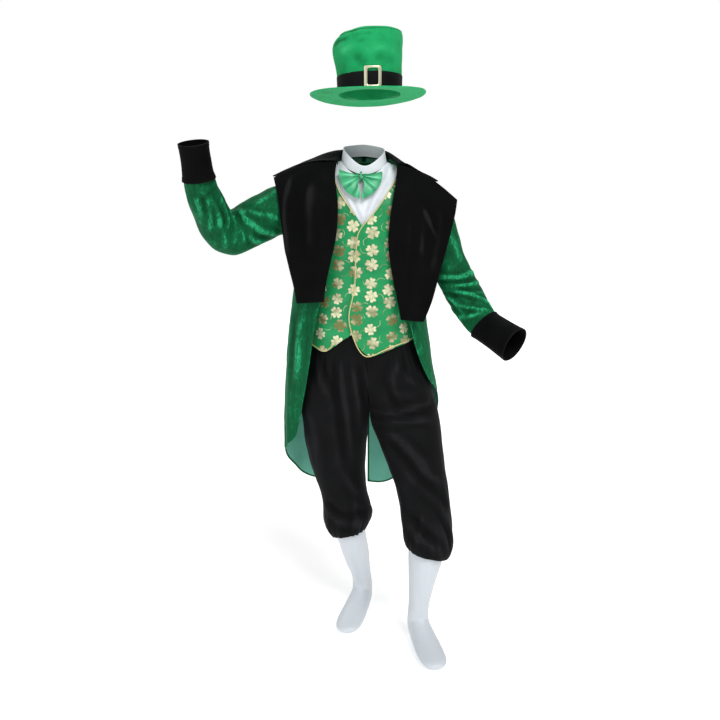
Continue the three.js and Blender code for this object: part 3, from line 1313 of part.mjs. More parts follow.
// The buckle is a frame bent to the crown, its rows going from the outer outline to the window
const BUCKLE_ROWS = [
  { inset: 0, lift: 0 },
  { inset: 0.5, lift: 1.4 },
  { inset: 1, lift: 0 },
];
const buckle = BUCKLE_ROWS.map(({ inset, lift }) => {
  const halfWidth = BUCKLE.halfWidth - BUCKLE.sideBar * inset;
  const low = BUCKLE.low + BUCKLE.endBar * inset;
  const high = BUCKLE.high - BUCKLE.endBar * inset;
  const side = (from, to, steps) => between(0, 1, steps).slice(0, -1).map((t) => (
    [from[0] + (to[0] - from[0]) * t, from[1] + (to[1] - from[1]) * t]));
  const corners = [[-halfWidth, low], [halfWidth, low], [halfWidth, high], [-halfWidth, high]];
  const outline = corners.flatMap((corner, i) => side(corner, corners[(i + 1) % 4], 6));
  return outline.map(([x, z]) => {
    const out = HAT_BAND.wall + 2 * LAYER_GAP + BUCKLE.wall + lift;
    const degrees = BUCKLE.angle + THREE.MathUtils.radToDeg(x / CROWN[0].deep);
    return crownAt(Math.max(z, HAT_BAND.low), degrees, out).setZ(z);
  });
});
addPiece('hat_buckle', clothWall(buckle, awayFromMiddle, BUCKLE.wall, true), GOLD_PLASTIC, hat);

costume.updateMatrixWorld(true);

export default costume;
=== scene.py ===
"""Looks of a leprechaun costume: hat, tailcoat, waistcoat, shirt front, bow tie, breeches and stockings.

Each cut and sewn piece is a thin sheet grown from the CAD piece of the same name: one side of its wall is
kept and made finer, the creases are laid on it, and the cloth gets its thickness back. Sizes in the tables
are millimetres in the part's frame, whose origin is at the neck; Blender's own units are metres.
"""

import logging
import math
from dataclasses import dataclass, field
from enum import Enum

import bpy
import numpy as np
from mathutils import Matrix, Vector, noise
from mathutils.kdtree import KDTree


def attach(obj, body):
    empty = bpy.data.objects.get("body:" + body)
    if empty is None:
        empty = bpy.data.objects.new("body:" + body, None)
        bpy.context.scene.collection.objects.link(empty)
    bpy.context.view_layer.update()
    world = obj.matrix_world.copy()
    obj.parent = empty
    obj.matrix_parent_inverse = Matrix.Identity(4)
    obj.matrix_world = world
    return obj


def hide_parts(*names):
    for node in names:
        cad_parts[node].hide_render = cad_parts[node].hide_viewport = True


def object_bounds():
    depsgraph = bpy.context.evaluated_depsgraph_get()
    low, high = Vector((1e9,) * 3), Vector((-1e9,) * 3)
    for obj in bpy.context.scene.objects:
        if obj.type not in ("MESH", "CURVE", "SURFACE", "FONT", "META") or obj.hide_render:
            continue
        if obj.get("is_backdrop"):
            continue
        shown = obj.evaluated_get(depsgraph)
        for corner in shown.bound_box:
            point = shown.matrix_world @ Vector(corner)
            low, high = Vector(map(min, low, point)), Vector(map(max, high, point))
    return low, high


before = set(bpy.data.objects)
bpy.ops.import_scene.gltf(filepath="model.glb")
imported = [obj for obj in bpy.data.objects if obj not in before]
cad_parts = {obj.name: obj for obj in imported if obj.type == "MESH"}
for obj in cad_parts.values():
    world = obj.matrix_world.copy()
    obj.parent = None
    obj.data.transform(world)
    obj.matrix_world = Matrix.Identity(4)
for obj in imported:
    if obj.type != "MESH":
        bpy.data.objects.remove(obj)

MM = 0.001
# The span of the gathers' random starts, in radians.
WHOLE_TURN = 6.28
# How far in from a free edge the thicker hem reaches and over what width it eases off, in metres.
HEM_REACH = 0.013
HEM_EASE = 0.003
# The lifts at which a crease and a pleat have their full painted highlight or shade.
CREASE_FULL = 4 * MM
PLEAT_FULL = 1.5 * MM
# How strong the painted highlight along a free edge is, and how far in it reaches.
EDGE_HIGHLIGHT = 0.5
EDGE_HIGHLIGHT_REACH = 3 * MM
# How much a rim's edge may differ from the wall's thickness.
RIM_SLACK = 0.03 * MM
Point = tuple[float, float, float]
Color = tuple[float, float, float]
log = logging.getLogger("costume")


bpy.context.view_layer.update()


class Held(Enum):
    HUNG = "hung"
    GATHERED = "gathered"
    STRETCHED = "stretched"
    FOLDED = "folded"


class Operation(Enum):
    """The Math node operations that the patterns use."""

    ADD = "ADD"
    SUBTRACT = "SUBTRACT"
    MULTIPLY = "MULTIPLY"
    DIVIDE = "DIVIDE"
    POWER = "POWER"
    LESS = "LESS_THAN"
    GREATER = "GREATER_THAN"
    MINIMUM = "MINIMUM"
    MAXIMUM = "MAXIMUM"
    ABSOLUTE = "ABSOLUTE"
    FLOOR = "FLOOR"
    MODULO = "FLOORED_MODULO"
    SINE = "SINE"
    COSINE = "COSINE"
    EXPONENT = "EXPONENT"
    ARCTAN2 = "ARCTAN2"
    ROOT = "SQRT"


class Value:
    """A number that a node tree works out, which joins others by plain arithmetic."""

    def __init__(self, graph: "Graph", socket: bpy.types.NodeSocket) -> None:
        """Keeps the socket that gives the number.

        Args:
            graph: The node tree's helper.
            socket: The output socket.
        """
        self.graph = graph
        self.socket = socket

    def _with(self, operation: Operation, other: "Value | float | None" = None) -> "Value":
        """Returns this number joined with another by one operation."""
        return self.graph.math(operation, self, other)

    def __add__(self, other: "Value | float") -> "Value":
        """Returns the sum."""
        return self._with(Operation.ADD, other)

    def __sub__(self, other: "Value | float") -> "Value":
        """Returns the difference."""
        return self._with(Operation.SUBTRACT, other)

    def __mul__(self, other: "Value | float") -> "Value":
        """Returns the product."""
        return self._with(Operation.MULTIPLY, other)

    def __truediv__(self, other: "Value | float") -> "Value":
        """Returns the quotient."""
        return self._with(Operation.DIVIDE, other)

    def __pow__(self, other: float) -> "Value":
        """Returns the power."""
        return self._with(Operation.POWER, other)

    def __lt__(self, other: "Value | float") -> "Value":
        """Returns 1 where this is less."""
        return self._with(Operation.LESS, other)

    def __gt__(self, other: "Value | float") -> "Value":
        """Returns 1 where this is more."""
        return self._with(Operation.GREATER, other)

    def __mod__(self, other: float) -> "Value":
        """Returns the rest after whole divisions, never below zero."""
        return self._with(Operation.MODULO, other)

    def __abs__(self) -> "Value":
        """Returns the size without its sign."""
        return self._with(Operation.ABSOLUTE)

    def lower(self, other: "Value | float") -> "Value":
        """Returns the lower of the two."""
        return self._with(Operation.MINIMUM, other)

    def higher(self, other: "Value | float") -> "Value":
        """Returns the higher of the two."""
        return self._with(Operation.MAXIMUM, other)

    def floor(self) -> "Value":
        """Returns the whole number below."""
        return self._with(Operation.FLOOR)

    def sine(self) -> "Value":
        """Returns the sine."""
        return self._with(Operation.SINE)

    def cosine(self) -> "Value":
        """Returns the cosine."""
        return self._with(Operation.COSINE)

    def exponent(self) -> "Value":
        """Returns e to this power."""
        return self._with(Operation.EXPONENT)

    def root(self) -> "Value":
        """Returns the square root."""
        return self._with(Operation.ROOT)


class Graph:
    """Adds the nodes of one node tree and links them."""

    def __init__(self, tree: bpy.types.NodeTree) -> None:
        """Keeps the node tree.

        Args:
            tree: The tree of a material, a group or the world.
        """
        self.tree = tree

    def add(self, kind: str, inputs: dict | None = None, **settings: object) -> bpy.types.Node:
        """Adds a node.

        Args:
            kind: The node's type name.
            inputs: What goes into each named or numbered input: a value, a Value or a socket.
            **settings: The node's own properties.

        Returns:
            The new node.
        """
        node = self.tree.nodes.new(kind)
        for name, setting in settings.items():
            setattr(node, name, setting)
        for name, value in (inputs or {}).items():
            self.feed(node.inputs[name], value)
        return node

    def feed(self, socket: bpy.types.NodeSocket, value: object) -> None:
        """Sets or links one input.

        Args:
            socket: The input socket.
            value: A constant, a Value or an output socket.
        """
        source = value.socket if isinstance(value, Value) else value
        if isinstance(source, bpy.types.NodeSocket):
            self.tree.links.new(source, socket)
        elif isinstance(source, tuple) and len(source) == 3 and socket.type == "RGBA":
            socket.default_value = (*source, 1.0)
        else:
            socket.default_value = source

    def math(self, operation: Operation, first: object, second: object = None) -> Value:
        """Adds a Math node.

        Args:
            operation: What it works out.
            first: The first number.
            second: The second number, where there is one.

        Returns:
            The result.
        """
        inputs = {0: first} if second is None else {0: first, 1: second}
        return Value(self, self.add("ShaderNodeMath", inputs, operation=operation.value).outputs[0])

    def mix(self, share: object, first: object, second: object) -> bpy.types.NodeSocket:
        """Mixes two colours.

        Args:
            share: How much of the second colour, from 0 to 1.
            first: The first colour.
            second: The second colour.

        Returns:
            The mixed colour's socket.
        """
        inputs = {0: share, 6: first, 7: second}
        return self.add("ShaderNodeMix", inputs, data_type="RGBA").outputs[2]

    def attribute(self, name: str) -> Value:
        """Returns a number stored on the mesh under this name."""
        return Value(self, self.add("ShaderNodeAttribute", attribute_name=name).outputs["Fac"])

    def place(self, scale: Point) -> bpy.types.NodeSocket:
        """Returns the object coordinates, each multiplied by its scale."""
        source = self.add("ShaderNodeTexCoord").outputs["Object"]
        mapping = self.add("ShaderNodeMapping", {"Vector": source, "Scale": scale})
        return mapping.outputs["Vector"]

    def noise(self, scale: Point, detail: float = 3.0, rough: float = 0.55) -> Value:
        """Returns a soft random pattern.

        Args:
            scale: How many grains to a metre along each axis.
            detail: How many finer layers it has.
            rough: How strong the finer layers are.

        Returns:
            Its value, around a half.
        """
        inputs = {"Vector": self.place(scale), "Scale": 1.0, "Detail": detail, "Roughness": rough}
        return Value(self, self.add("ShaderNodeTexNoise", inputs).outputs["Fac"])

    def bump(self, height: Value, strength: float, distance: float) -> bpy.types.NodeSocket:
        """Returns the normal of a fine relief.

        Args:
            height: The relief.
            strength: How much of it shows, from 0 to 1.
            distance: Its depth in metres.

        Returns:
            The normal's socket.
        """
        inputs = {"Height": height, "Strength": strength, "Distance": distance}
        return self.add("ShaderNodeBump", inputs).outputs["Normal"]

    def surface(self, inputs: dict) -> None:
        """Adds the Principled surface and the output.

        Args:
            inputs: What goes into each of its named inputs.
        """
        shader = self.add("ShaderNodeBsdfPrincipled", inputs)
        self.add("ShaderNodeOutputMaterial", {"Surface": shader.outputs["BSDF"]})


def new_material(name: str) -> tuple[bpy.types.Material, Graph]:
    """Makes an empty material.

    Args:
        name: Its name.

    Returns:
        The material and the helper of its node tree.
    """
    material = bpy.data.materials.new(name)
    material.use_nodes = True
    material.node_tree.nodes.clear()
    return material, Graph(material.node_tree)


def new_group(
    name: str, inputs: dict[str, str], outputs: dict[str, str]
) -> tuple[Graph, dict, bpy.types.Node]:
    """Makes an empty node group with its sockets.

    Args:
        name: The group's name.
        inputs: Each input's name and socket type.
        outputs: Each output's name and socket type.

    Returns:
        The helper of its tree, its inputs' sockets by name, and its output node.
    """
    tree = bpy.data.node_groups.new(name, "ShaderNodeTree")
    for socket, kind in inputs.items():
        tree.interface.new_socket(socket, in_out="INPUT", socket_type=kind)
    for socket, kind in outputs.items():
        tree.interface.new_socket(socket, in_out="OUTPUT", socket_type=kind)
    graph = Graph(tree)
    given = {socket.name: socket for socket in graph.add("NodeGroupInput").outputs if socket.name}
    return graph, given, graph.add("NodeGroupOutput")


NUMBER = "NodeSocketFloat"
COLOR = "NodeSocketColor"


@dataclass(frozen=True)
class NapAndCreaseLight:
    """A node group that paints highlights on the creases' crests and free edges and shade in their hollows,
    and adds the nap's streaks as lighter and darker tones of one colour.

    Attributes:
        name: The group's name.
        sharp: How narrow the painted highlights on the crests are.
        shade: How deep the painted shade in the hollows becomes.
    """

    name: str = "Nap and painted crease light"
    sharp: float = 2.2
    shade: float = 1.0

    def build(self) -> bpy.types.NodeTree:
        """Makes the group.

        Returns:
            The node group, with a Color output.
        """
        inputs = {"Streaks": NUMBER, "Creases": NUMBER, "Crease shade": COLOR, "Base": COLOR, "Crest highlight": COLOR}
        graph, given, output = new_group(self.name, inputs, {"Color": COLOR})
        # Crests and free edges get a painted highlight and hollows get painted shade, by the stored crease
        # lift; the nap's streaks move the tone too.
        painted_light = graph.attribute("painted_light")
        tone = (painted_light * Value(graph, given["Creases"])) + Value(graph, given["Streaks"])
        bright = tone.higher(0.0).lower(1.0) ** self.sharp
        dark = (tone * -self.shade).higher(0.0).lower(1.0)
        lit = graph.mix(bright, given["Base"], given["Crest highlight"])
        graph.feed(output.inputs["Color"], graph.mix(dark, lit, given["Crease shade"]))
        return graph.tree


@dataclass(frozen=True)
class CloverPrint:
    """A node group that lays four-leafed clovers and loose stems on the "cut" map, which is in metres.

    Attributes:
        name: The group's name.
        wide: The width of a cell of the lattice.
        tall: Its height.
        leaf: The length of a leaf.
        leaf_least: The shortest leaf, as a share of that length.
        leaf_range: How much the leaves differ, as a share of that length.
        leaf_round: How round a leaf's tip is.
        leaf_full: How wide a leaf is.
        notch_wide: The half width of the notch in a leaf's tip, in radians.
        notch_deep: The notch's depth, as a share of the leaf.
        vein_count: How many veins a leaf has.
        vein_wide: How wide they are.
        vein_from: Where they start, as a share of the leaf.
        vein_to: Where they end.
        shift: How far a clover may lie from its cell's middle, from one side to the other.
        stem_half: Half the width that a loose stem spans.
        stem_wide: Half its thickness.
        stem_bend: How sharply it bends.
    """

    name: str = "Clover Print"
    wide: float = 0.054
    tall: float = 0.048
    leaf: float = 0.0195
    leaf_least: float = 0.9
    leaf_range: float = 0.16
    leaf_round: float = 0.45
    leaf_full: float = 1.25
    notch_wide: float = 0.12
    notch_deep: float = 0.16
    vein_count: float = 6.0
    vein_wide: float = 0.3
    vein_from: float = 0.12
    vein_to: float = 0.6
    shift: float = 0.015
    stem_half: float = 0.013
    stem_wide: float = 0.0005
    stem_bend: float = 45.0

    def _cell(self, graph: Graph, offset: float) -> tuple[Value, Value, Value, Value]:
        """Finds the cell of a half-drop lattice and the place in it.

        Args:
            graph: The group's helper.
            offset: How far the lattice is moved, in cells.

        Returns:
            The turned and shifted place in metres, x and y, and two random numbers of the cell.
        """
        source = graph.add("ShaderNodeUVMap", uv_map="cut").outputs["UV"]
        split = graph.add("ShaderNodeSeparateXYZ", {0: source})
        across = (Value(graph, split.outputs[0]) / self.wide) + offset
        column = across.floor()
        down = (Value(graph, split.outputs[1]) / self.tall) + ((column % 2.0) * 0.5) + (offset * 0.5)
        row = down.floor()
        cell = graph.add("ShaderNodeCombineXYZ", {0: column, 1: row, 2: offset * 10.0})
        dice = graph.add("ShaderNodeTexWhiteNoise", {"Vector": cell.outputs[0]}, noise_dimensions="3D")
        parts = graph.add("ShaderNodeSeparateColor", {0: dice.outputs["Color"]}).outputs
        first, second, third = (Value(graph, part) for part in parts)
        x = ((across - column - 0.5) * self.wide) - ((first - 0.5) * self.shift)
        y = ((down - row - 0.5) * self.tall) - ((second - 0.5) * self.shift)
        turn = third * (2 * math.pi)
        turned_x = (x * turn.cosine()) - (y * turn.sine())
        turned_y = (x * turn.sine()) + (y * turn.cosine())
        return turned_x, turned_y, first, second

    def _clover(self, graph: Graph) -> tuple[Value, Value]:
        """Draws one clover in each cell.

        Args:
            graph: The group's helper.

        Returns:
            Its mask and its random tone.
        """
        x, y, tone, size = self._cell(graph, 0.0)
        leaf = (size * self.leaf_range + self.leaf_least) * self.leaf
        radius = ((x * x) + (y * y)).root() / leaf
        angle = graph.math(Operation.ARCTAN2, y, x)
        from_axis = (angle % (math.pi / 2)) - math.pi / 4
        bulge = ((from_axis * 2.0).cosine().higher(0.0001) ** self.leaf_round) * self.leaf_full
        off_tip = from_axis / self.notch_wide
        notch = ((off_tip * off_tip) * -1.0).exponent() * -self.notch_deep + 1.0
        inside = radius < (bulge.lower(1.0) * notch)
        line = abs((from_axis * self.vein_count).sine()) < self.vein_wide
        vein = line * (radius > self.vein_from) * (radius < self.vein_to)
        return inside * ((vein * -1.0) + 1.0), tone

    def _stem(self, graph: Graph) -> Value:
        """Draws one loose stem in each cell of the lattice between the clovers.

        Args:
            graph: The group's helper.

        Returns:
            Its mask.
        """
        x, y, _, _ = self._cell(graph, 0.5)
        bow = (x * x) * self.stem_bend
        return (abs(y - bow) < self.stem_wide) * (abs(x) < self.stem_half)

    def build(self) -> bpy.types.NodeTree:
        """Makes the group.

        Returns:
            The node group, with a Mask output and a Tone output.
        """
        graph, _, output = new_group(self.name, {}, {"Mask": NUMBER, "Tone": NUMBER})
        clover, tone = self._clover(graph)
        graph.feed(output.inputs["Mask"], clover.higher(self._stem(graph)))
        graph.feed(output.inputs["Tone"], tone)
        return graph.tree


@dataclass(frozen=True)
class ClothFinish:
    """A cloth of one colour with painted shade down in its creases and painted highlights on their crests
    and free edges, with its streaks, its weave and its sheen.

    Attributes:
        name: The material's name.
        trough: The colour down in a crease: a painted shade, which the nap's darker streaks also take.
        base: The colour between.
        ridge: The colour on a crease's crest and along a free edge: a painted highlight, which the nap's
            lighter streaks also take.
        roughness: How matt it is.
        creases: How strongly the creases paint shade and highlights into the colour.
        streaks: How much the nap's streaks change it.
        streak_scale: Streaks to a metre along each axis.
        sheen: The strength of the soft light at grazing angles.
        sheen_tint: The colour of that light.
        grain_scale: Grains or threads of the fine relief to a metre.
        grain_deep: The depth of the fine relief in metres.
        bound: The colour of a bound edge, where the cloth has one.
        bound_width: The bound edge's width in metres.
        gloss: The strength of the plain reflection, from 0 to 1.
        crush: How bright the thin lines of a crushed pile are.
        crush_narrow: How thin they are.
        crush_scale: How many of them run to a metre along each axis.
    """

    name: str
    trough: Color
    base: Color
    ridge: Color
    roughness: float
    creases: float = 1.0
    streaks: float = 0.5
    streak_scale: Point = (16.0, 16.0, 5.0)
    sheen: float = 0.0
    sheen_tint: Color = (1.0, 1.0, 1.0)
    grain_scale: Point = (900.0, 900.0, 900.0)
    grain_deep: float = 0.0004
    bound: Color | None = None
    bound_width: float = 0.006
    gloss: float = 0.1
    crush: float = 0.0
    crush_narrow: float = 22.0
    crush_scale: Point = (40.0, 40.0, 16.0)

    def build(self, nap: bpy.types.NodeTree) -> bpy.types.Material:
        """Makes the material.

        Args:
            nap: The group that gives the tones, the painted crease shade and highlights among them.

        Returns:
            The material.
        """
        material, graph = new_material(self.name)
        streaks = (graph.noise(self.streak_scale) - 0.5) * (2 * self.streaks)
        if self.crush:
            away = abs(graph.noise(self.crush_scale, detail=4.0) - 0.5)
            streaks = streaks + ((away * -self.crush_narrow) + 1.0).higher(0.0) * self.crush
        # The crease colours are painted light: shade down in the creases and a highlight on their crests
        # and free edges.
        inputs = {
            "Streaks": streaks, "Creases": self.creases,
            "Crease shade": self.trough, "Base": self.base, "Crest highlight": self.ridge,
        }
        tones = graph.tree.nodes.new("ShaderNodeGroup")
        tones.node_tree = nap
        for name, value in inputs.items():
            graph.feed(tones.inputs[name], value)
        color = tones.outputs["Color"]
        if self.bound:
            color = graph.mix(graph.attribute("edge") < self.bound_width, color, self.bound)
        grain = graph.noise(self.grain_scale, detail=2.0)
        graph.surface({
            "Base Color": color,
            "Roughness": self.roughness,
            "Sheen Weight": self.sheen,
            "Sheen Roughness": 0.4,
            "Sheen Tint": (*self.sheen_tint, 1.0),
            "Specular IOR Level": self.gloss,
            "Normal": graph.bump(grain, 0.5, self.grain_deep),
        })
        return material


@dataclass(frozen=True)
class FoilPrint:
    """Green satin with clovers printed in gold foil.

    Attributes:
        name: The material's name.
        trough: The satin's colour down in a crease: a painted shade, which its darker streaks also take.
        satin: Its colour between.
        light: Its colour on a crease's crest and along a free edge: a painted highlight, which its lighter
            streaks also take.
        pale_foil: The foil's colour where it catches the light.
        dark_foil: Its colour elsewhere.
    """

    name: str = "Printed satin"
    trough: Color = (0.002, 0.12, 0.04)
    satin: Color = (0.005, 0.27, 0.08)
    light: Color = (0.03, 0.42, 0.155)
    pale_foil: Color = (0.80, 0.74, 0.50)
    dark_foil: Color = (0.22, 0.17, 0.06)

    def build(self, nap: bpy.types.NodeTree, clovers: bpy.types.NodeTree) -> bpy.types.Material:
        """Makes the material.

        Args:
            nap: The group that gives the cloth's tones, the painted crease shade and highlights among them.
            clovers: The group that draws the print.

        Returns:
            The material.
        """
        material, graph = new_material(self.name)
        tones = graph.add("ShaderNodeGroup", node_tree=nap)
        streaks = (graph.noise((14.0, 14.0, 10.0)) - 0.5) * 1.2
        # The satin's crease colours are painted light: shade down in the creases and a highlight on their
        # crests and free edges.
        settings = {
            "Streaks": streaks, "Creases": 0.8,
            "Crease shade": self.trough, "Base": self.satin, "Crest highlight": self.light,
        }
        for name, value in settings.items():
            graph.feed(tones.inputs[name], value)
        print_node = graph.add("ShaderNodeGroup", node_tree=clovers)
        mask = Value(graph, print_node.outputs["Mask"])
        glint = graph.noise((24.0, 24.0, 30.0), detail=2.0)
        shade = ((glint - 0.5) * 3.5) + (Value(graph, print_node.outputs["Tone"]) * 1.1) - 0.1
        foil = graph.mix(shade.higher(0.0).lower(1.0), self.pale_foil, self.dark_foil)
        weave = graph.noise((700.0, 700.0, 700.0), detail=1.0)
        graph.surface({
            "Base Color": graph.mix(mask, tones.outputs["Color"], foil),
            "Metallic": mask * 0.4,
            "Roughness": (mask * 0.06) + 0.44,
            "Sheen Weight": 0.1,
            "Specular IOR Level": 0.35,
            "Normal": graph.bump(weave, 0.3, 0.0002),
        })
        return material


@dataclass(frozen=True)
class PlainFinish:
    """A trim in one colour with a fine relief.

    Attributes:
        name: The material's name.
        color: Its colour.
        roughness: How matt it is.
        metallic: How much it looks like metal, from 0 to 1.
        relief_scale: Grains of the relief to a metre along each axis.
        relief_deep: The relief's depth in metres.
    """

    name: str
    color: Color
    roughness: float
    metallic: float = 0.0
    relief_scale: Point = (300.0, 300.0, 300.0)
    relief_deep: float = 0.0001

    def build(self) -> bpy.types.Material:
        """Makes the material.

        Returns:
            The material.
        """
        material, graph = new_material(self.name)
        relief = graph.noise(self.relief_scale, detail=2.0)
        graph.surface({
            "Base Color": self.color,
            "Metallic": self.metallic,
            "Roughness": (relief * 0.12) + (self.roughness - 0.06),
            "Normal": graph.bump(relief, 0.4, self.relief_deep),
        })
        return material


@dataclass(frozen=True)
class FoldLine:
    """One crease: a soft ridge, or a trough where its depth is below zero, along a few points.

    Attributes:
        points: Places the crease runs through, in millimetres.
        deep: Its height, in millimetres.
        wide: Its half width, in millimetres.
        bank_away: Where the low banks beside it lie, in half widths.
        bank_wide: How wide they are, in half widths.
        bank_deep: Their depth, as a share of the crease's height.
        run_out: How quickly it grows from its ends.
        end_share: How much of its height is left at its ends.
    """

    points: tuple[Point, ...]
    deep: float
    wide: float
    bank_away: float = 1.8
    bank_wide: float = 0.9
    bank_deep: float = 0.45
    run_out: float = 5.0
    end_share: float = 0.3

    def heights(self, places: np.ndarray) -> np.ndarray:
        """Works out how far the crease lifts the cloth.

        Args:
            places: Places on the cloth in metres, one a row.

        Returns:
            The lift at each place, in metres.
        """
        line = smooth_line(np.array(self.points, float) * MM)
        nearest = np.full(len(places), np.inf)
        along = np.zeros(len(places))
        for step, (start, end) in enumerate(zip(line[:-1], line[1:])):
            way = end - start
            share = np.clip((places - start) @ way / (way @ way), 0.0, 1.0)
            distance = np.linalg.norm(places - start - share[:, None] * way, axis=1)
            closer = distance < nearest
            nearest = np.where(closer, distance, nearest)
            along = np.where(closer, (step + share) / (len(line) - 1), along)
        wide = self.wide * MM
        taper = np.clip(np.minimum(along, 1.0 - along) * self.run_out + self.end_share, 0.0, 1.0)
        crest = np.exp(-((nearest / wide) ** 2))
        banks = np.exp(-(((nearest - self.bank_away * wide) / (self.bank_wide * wide)) ** 2))
        return self.deep * MM * taper * (crest - self.bank_deep * banks)


def smooth_line(points: np.ndarray, steps: int = 4) -> np.ndarray:
    """Runs a smooth line through a few points.

    Args:
        points: The points, one a row.
        steps: How many short straight steps lie between two of them.

    Returns:
        The points of the smooth line.
    """
    padded = np.vstack([2 * points[0] - points[1], points, 2 * points[-1] - points[-2]])
    line = []
    for a, b, c, d in zip(padded, padded[1:], padded[2:], padded[3:]):
        for t in np.arange(steps) / steps:
            line.append(0.5 * (2 * b + (c - a) * t + (2 * a - 5 * b + 4 * c - d) * t**2
                               + (3 * b - a - 3 * c + d) * t**3))
    return np.array([*line, points[-1]])


@dataclass(frozen=True)
class GatherRing:
    """Gathers that run down from a seam or an elastic, uneven in height and spacing.

    Attributes:
        middle: The ring's middle, in millimetres.
        top: The height at which the gathers start, in millimetres.
        full: The height at which they are deepest.
        end: The height at which they have faded out.
        count: How many gathers go round.
        deep: Their height, in millimetres.
        seed: The seed of their unevenness.
    """

    middle: tuple[float, float]
    top: float
    full: float
    end: float
    count: int
    deep: float
    seed: int

    def heights(self, places: np.ndarray) -> np.ndarray:
        """Works out how far the gathers lift the cloth.

        Args:
            places: Places on the cloth in metres, one a row.

        Returns:
            The lift at each place, in metres.
        """
        chance = np.random.default_rng(self.seed)
        round_angle = np.arctan2(places[:, 0] - self.middle[0] * MM, places[:, 1] - self.middle[1] * MM)
        wander = sum(
            share * np.sin(times * round_angle + chance.uniform(0, WHOLE_TURN) + places[:, 2] * bend)
            for times, share, bend in ((3, 0.9, 9.0), (5, 0.6, -14.0), (8, 0.4, 20.0))
        )
        strength = 0.65 + 0.35 * np.sin(4 * round_angle + chance.uniform(0, WHOLE_TURN))
        z = places[:, 2] / MM
        rising = np.clip((self.top - z) / (self.top - self.full), 0.0, 1.0)
        fading = np.clip((z - self.end) / (self.full - self.end), 0.0, 1.0)
        return self.deep * MM * strength * rising * fading**1.5 * np.cos(self.count * round_angle + wander)


@dataclass(frozen=True)
class Pleats:
    """Pleats that fan out from a pinch.

    Attributes:
        pinch: The pinch's place, in millimetres.
        count: How many pleats fill a whole turn.
        deep: Their height, in millimetres.
        full_at: How far from the pinch they reach their whole height, in millimetres.
        fade_at: The reach over which they grow shallow again, in millimetres.
    """

    pinch: Point
    count: float
    deep: float
    full_at: float = 22.0
    fade_at: float = 55.0

    def heights(self, places: np.ndarray) -> np.ndarray:
        """Works out how far the pleats lift the cloth.

        Args:
            places: Places on the cloth in metres, one a row.

        Returns:
            The lift at each place, in metres.
        """
        out = places - np.array(self.pinch) * MM
        turn = np.arctan2(out[:, 2], np.abs(out[:, 0]))
        side = np.sign(out[:, 0])
        away = np.hypot(out[:, 0], out[:, 2])
        reach = np.clip(away / (self.full_at * MM), 0.0, 1.0)
        fade = np.clip(1.6 - away / (self.fade_at * MM), 0.35, 1.0)
        wave = np.cos(self.count * turn + side) + 0.5 * np.cos(1.7 * self.count * turn + 2.0 * side)
        return self.deep * MM * reach * fade * wave


@dataclass(frozen=True)
class Crumple:
    """Small random unevenness of a soft cloth.

    Attributes:
        deep: Its height, in millimetres.
        wide: The size of its dents, in millimetres.
        seed: Where in the random field it lies.
    """

    deep: float = 0.5
    wide: float = 45.0
    seed: float = 1.0

    def heights(self, places: np.ndarray) -> np.ndarray:
        """Returns the lift at each place, in metres."""
        start = Vector((self.seed, 3.1 * self.seed, 7.7 * self.seed))
        scale = 1.0 / (self.wide * MM)
        field_of = (noise.noise(Vector(place) * scale + start) for place in places)
        return self.deep * MM * 2.0 * np.fromiter(field_of, float, len(places))


def select_only(obj: bpy.types.Object) -> None:
    """Selects one object alone and makes it the active one."""
    bpy.ops.object.select_all(action="DESELECT")
    obj.select_set(True)
    bpy.context.view_layer.objects.active = obj


def apply_modifier(obj: bpy.types.Object, kind: str, **settings: object) -> None:
    """Adds a modifier with its settings and applies it.

    Args:
        obj: The object.
        kind: The modifier's type.
        **settings: The modifier's own properties.
    """
    select_only(obj)
    modifier = obj.modifiers.new(kind.title(), kind)
    for name, value in settings.items():
        setattr(modifier, name, value)
    bpy.ops.object.modifier_apply(modifier=modifier.name)


def joined_copy(node: str, name: str) -> bpy.types.Object:
    """Copies a CAD node's mesh, joins its loose triangles and restores its four-sided faces.

    Args:
        node: The CAD node.
        name: The copy's name.

    Returns:
        The copy.
    """
    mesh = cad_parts[node].data.copy()
    mesh.name = name
    mesh.materials.clear()
    obj = bpy.data.objects.new(name, mesh)
    bpy.context.scene.collection.objects.link(obj)
    select_only(obj)
    if mesh.has_custom_normals:
        bpy.ops.mesh.customdata_custom_splitnormals_clear()
    bpy.ops.object.mode_set(mode="EDIT")
    bpy.ops.mesh.select_all(action="SELECT")
    bpy.ops.mesh.remove_doubles(threshold=0.01 * MM)
    bpy.ops.mesh.tris_convert_to_quads(face_threshold=math.radians(60), shape_threshold=math.radians(75))
    bpy.ops.mesh.select_mode(type="FACE")
    bpy.ops.mesh.select_all(action="DESELECT")
    bpy.ops.object.mode_set(mode="OBJECT")
    return obj


def columns_of(mesh: bpy.types.Mesh, what: str, of: str, width: int) -> np.ndarray:
    """Reads one property of all a mesh's vertices, faces or edges.

    Args:
        mesh: The mesh.
        what: The collection's name.
        of: The property's name.
        width: How many numbers each has.

    Returns:
        The numbers, one row each.
    """
    items = getattr(mesh, what)
    values = np.zeros(len(items) * width)
    items.foreach_get(of, values)
    return values.reshape(-1, width)


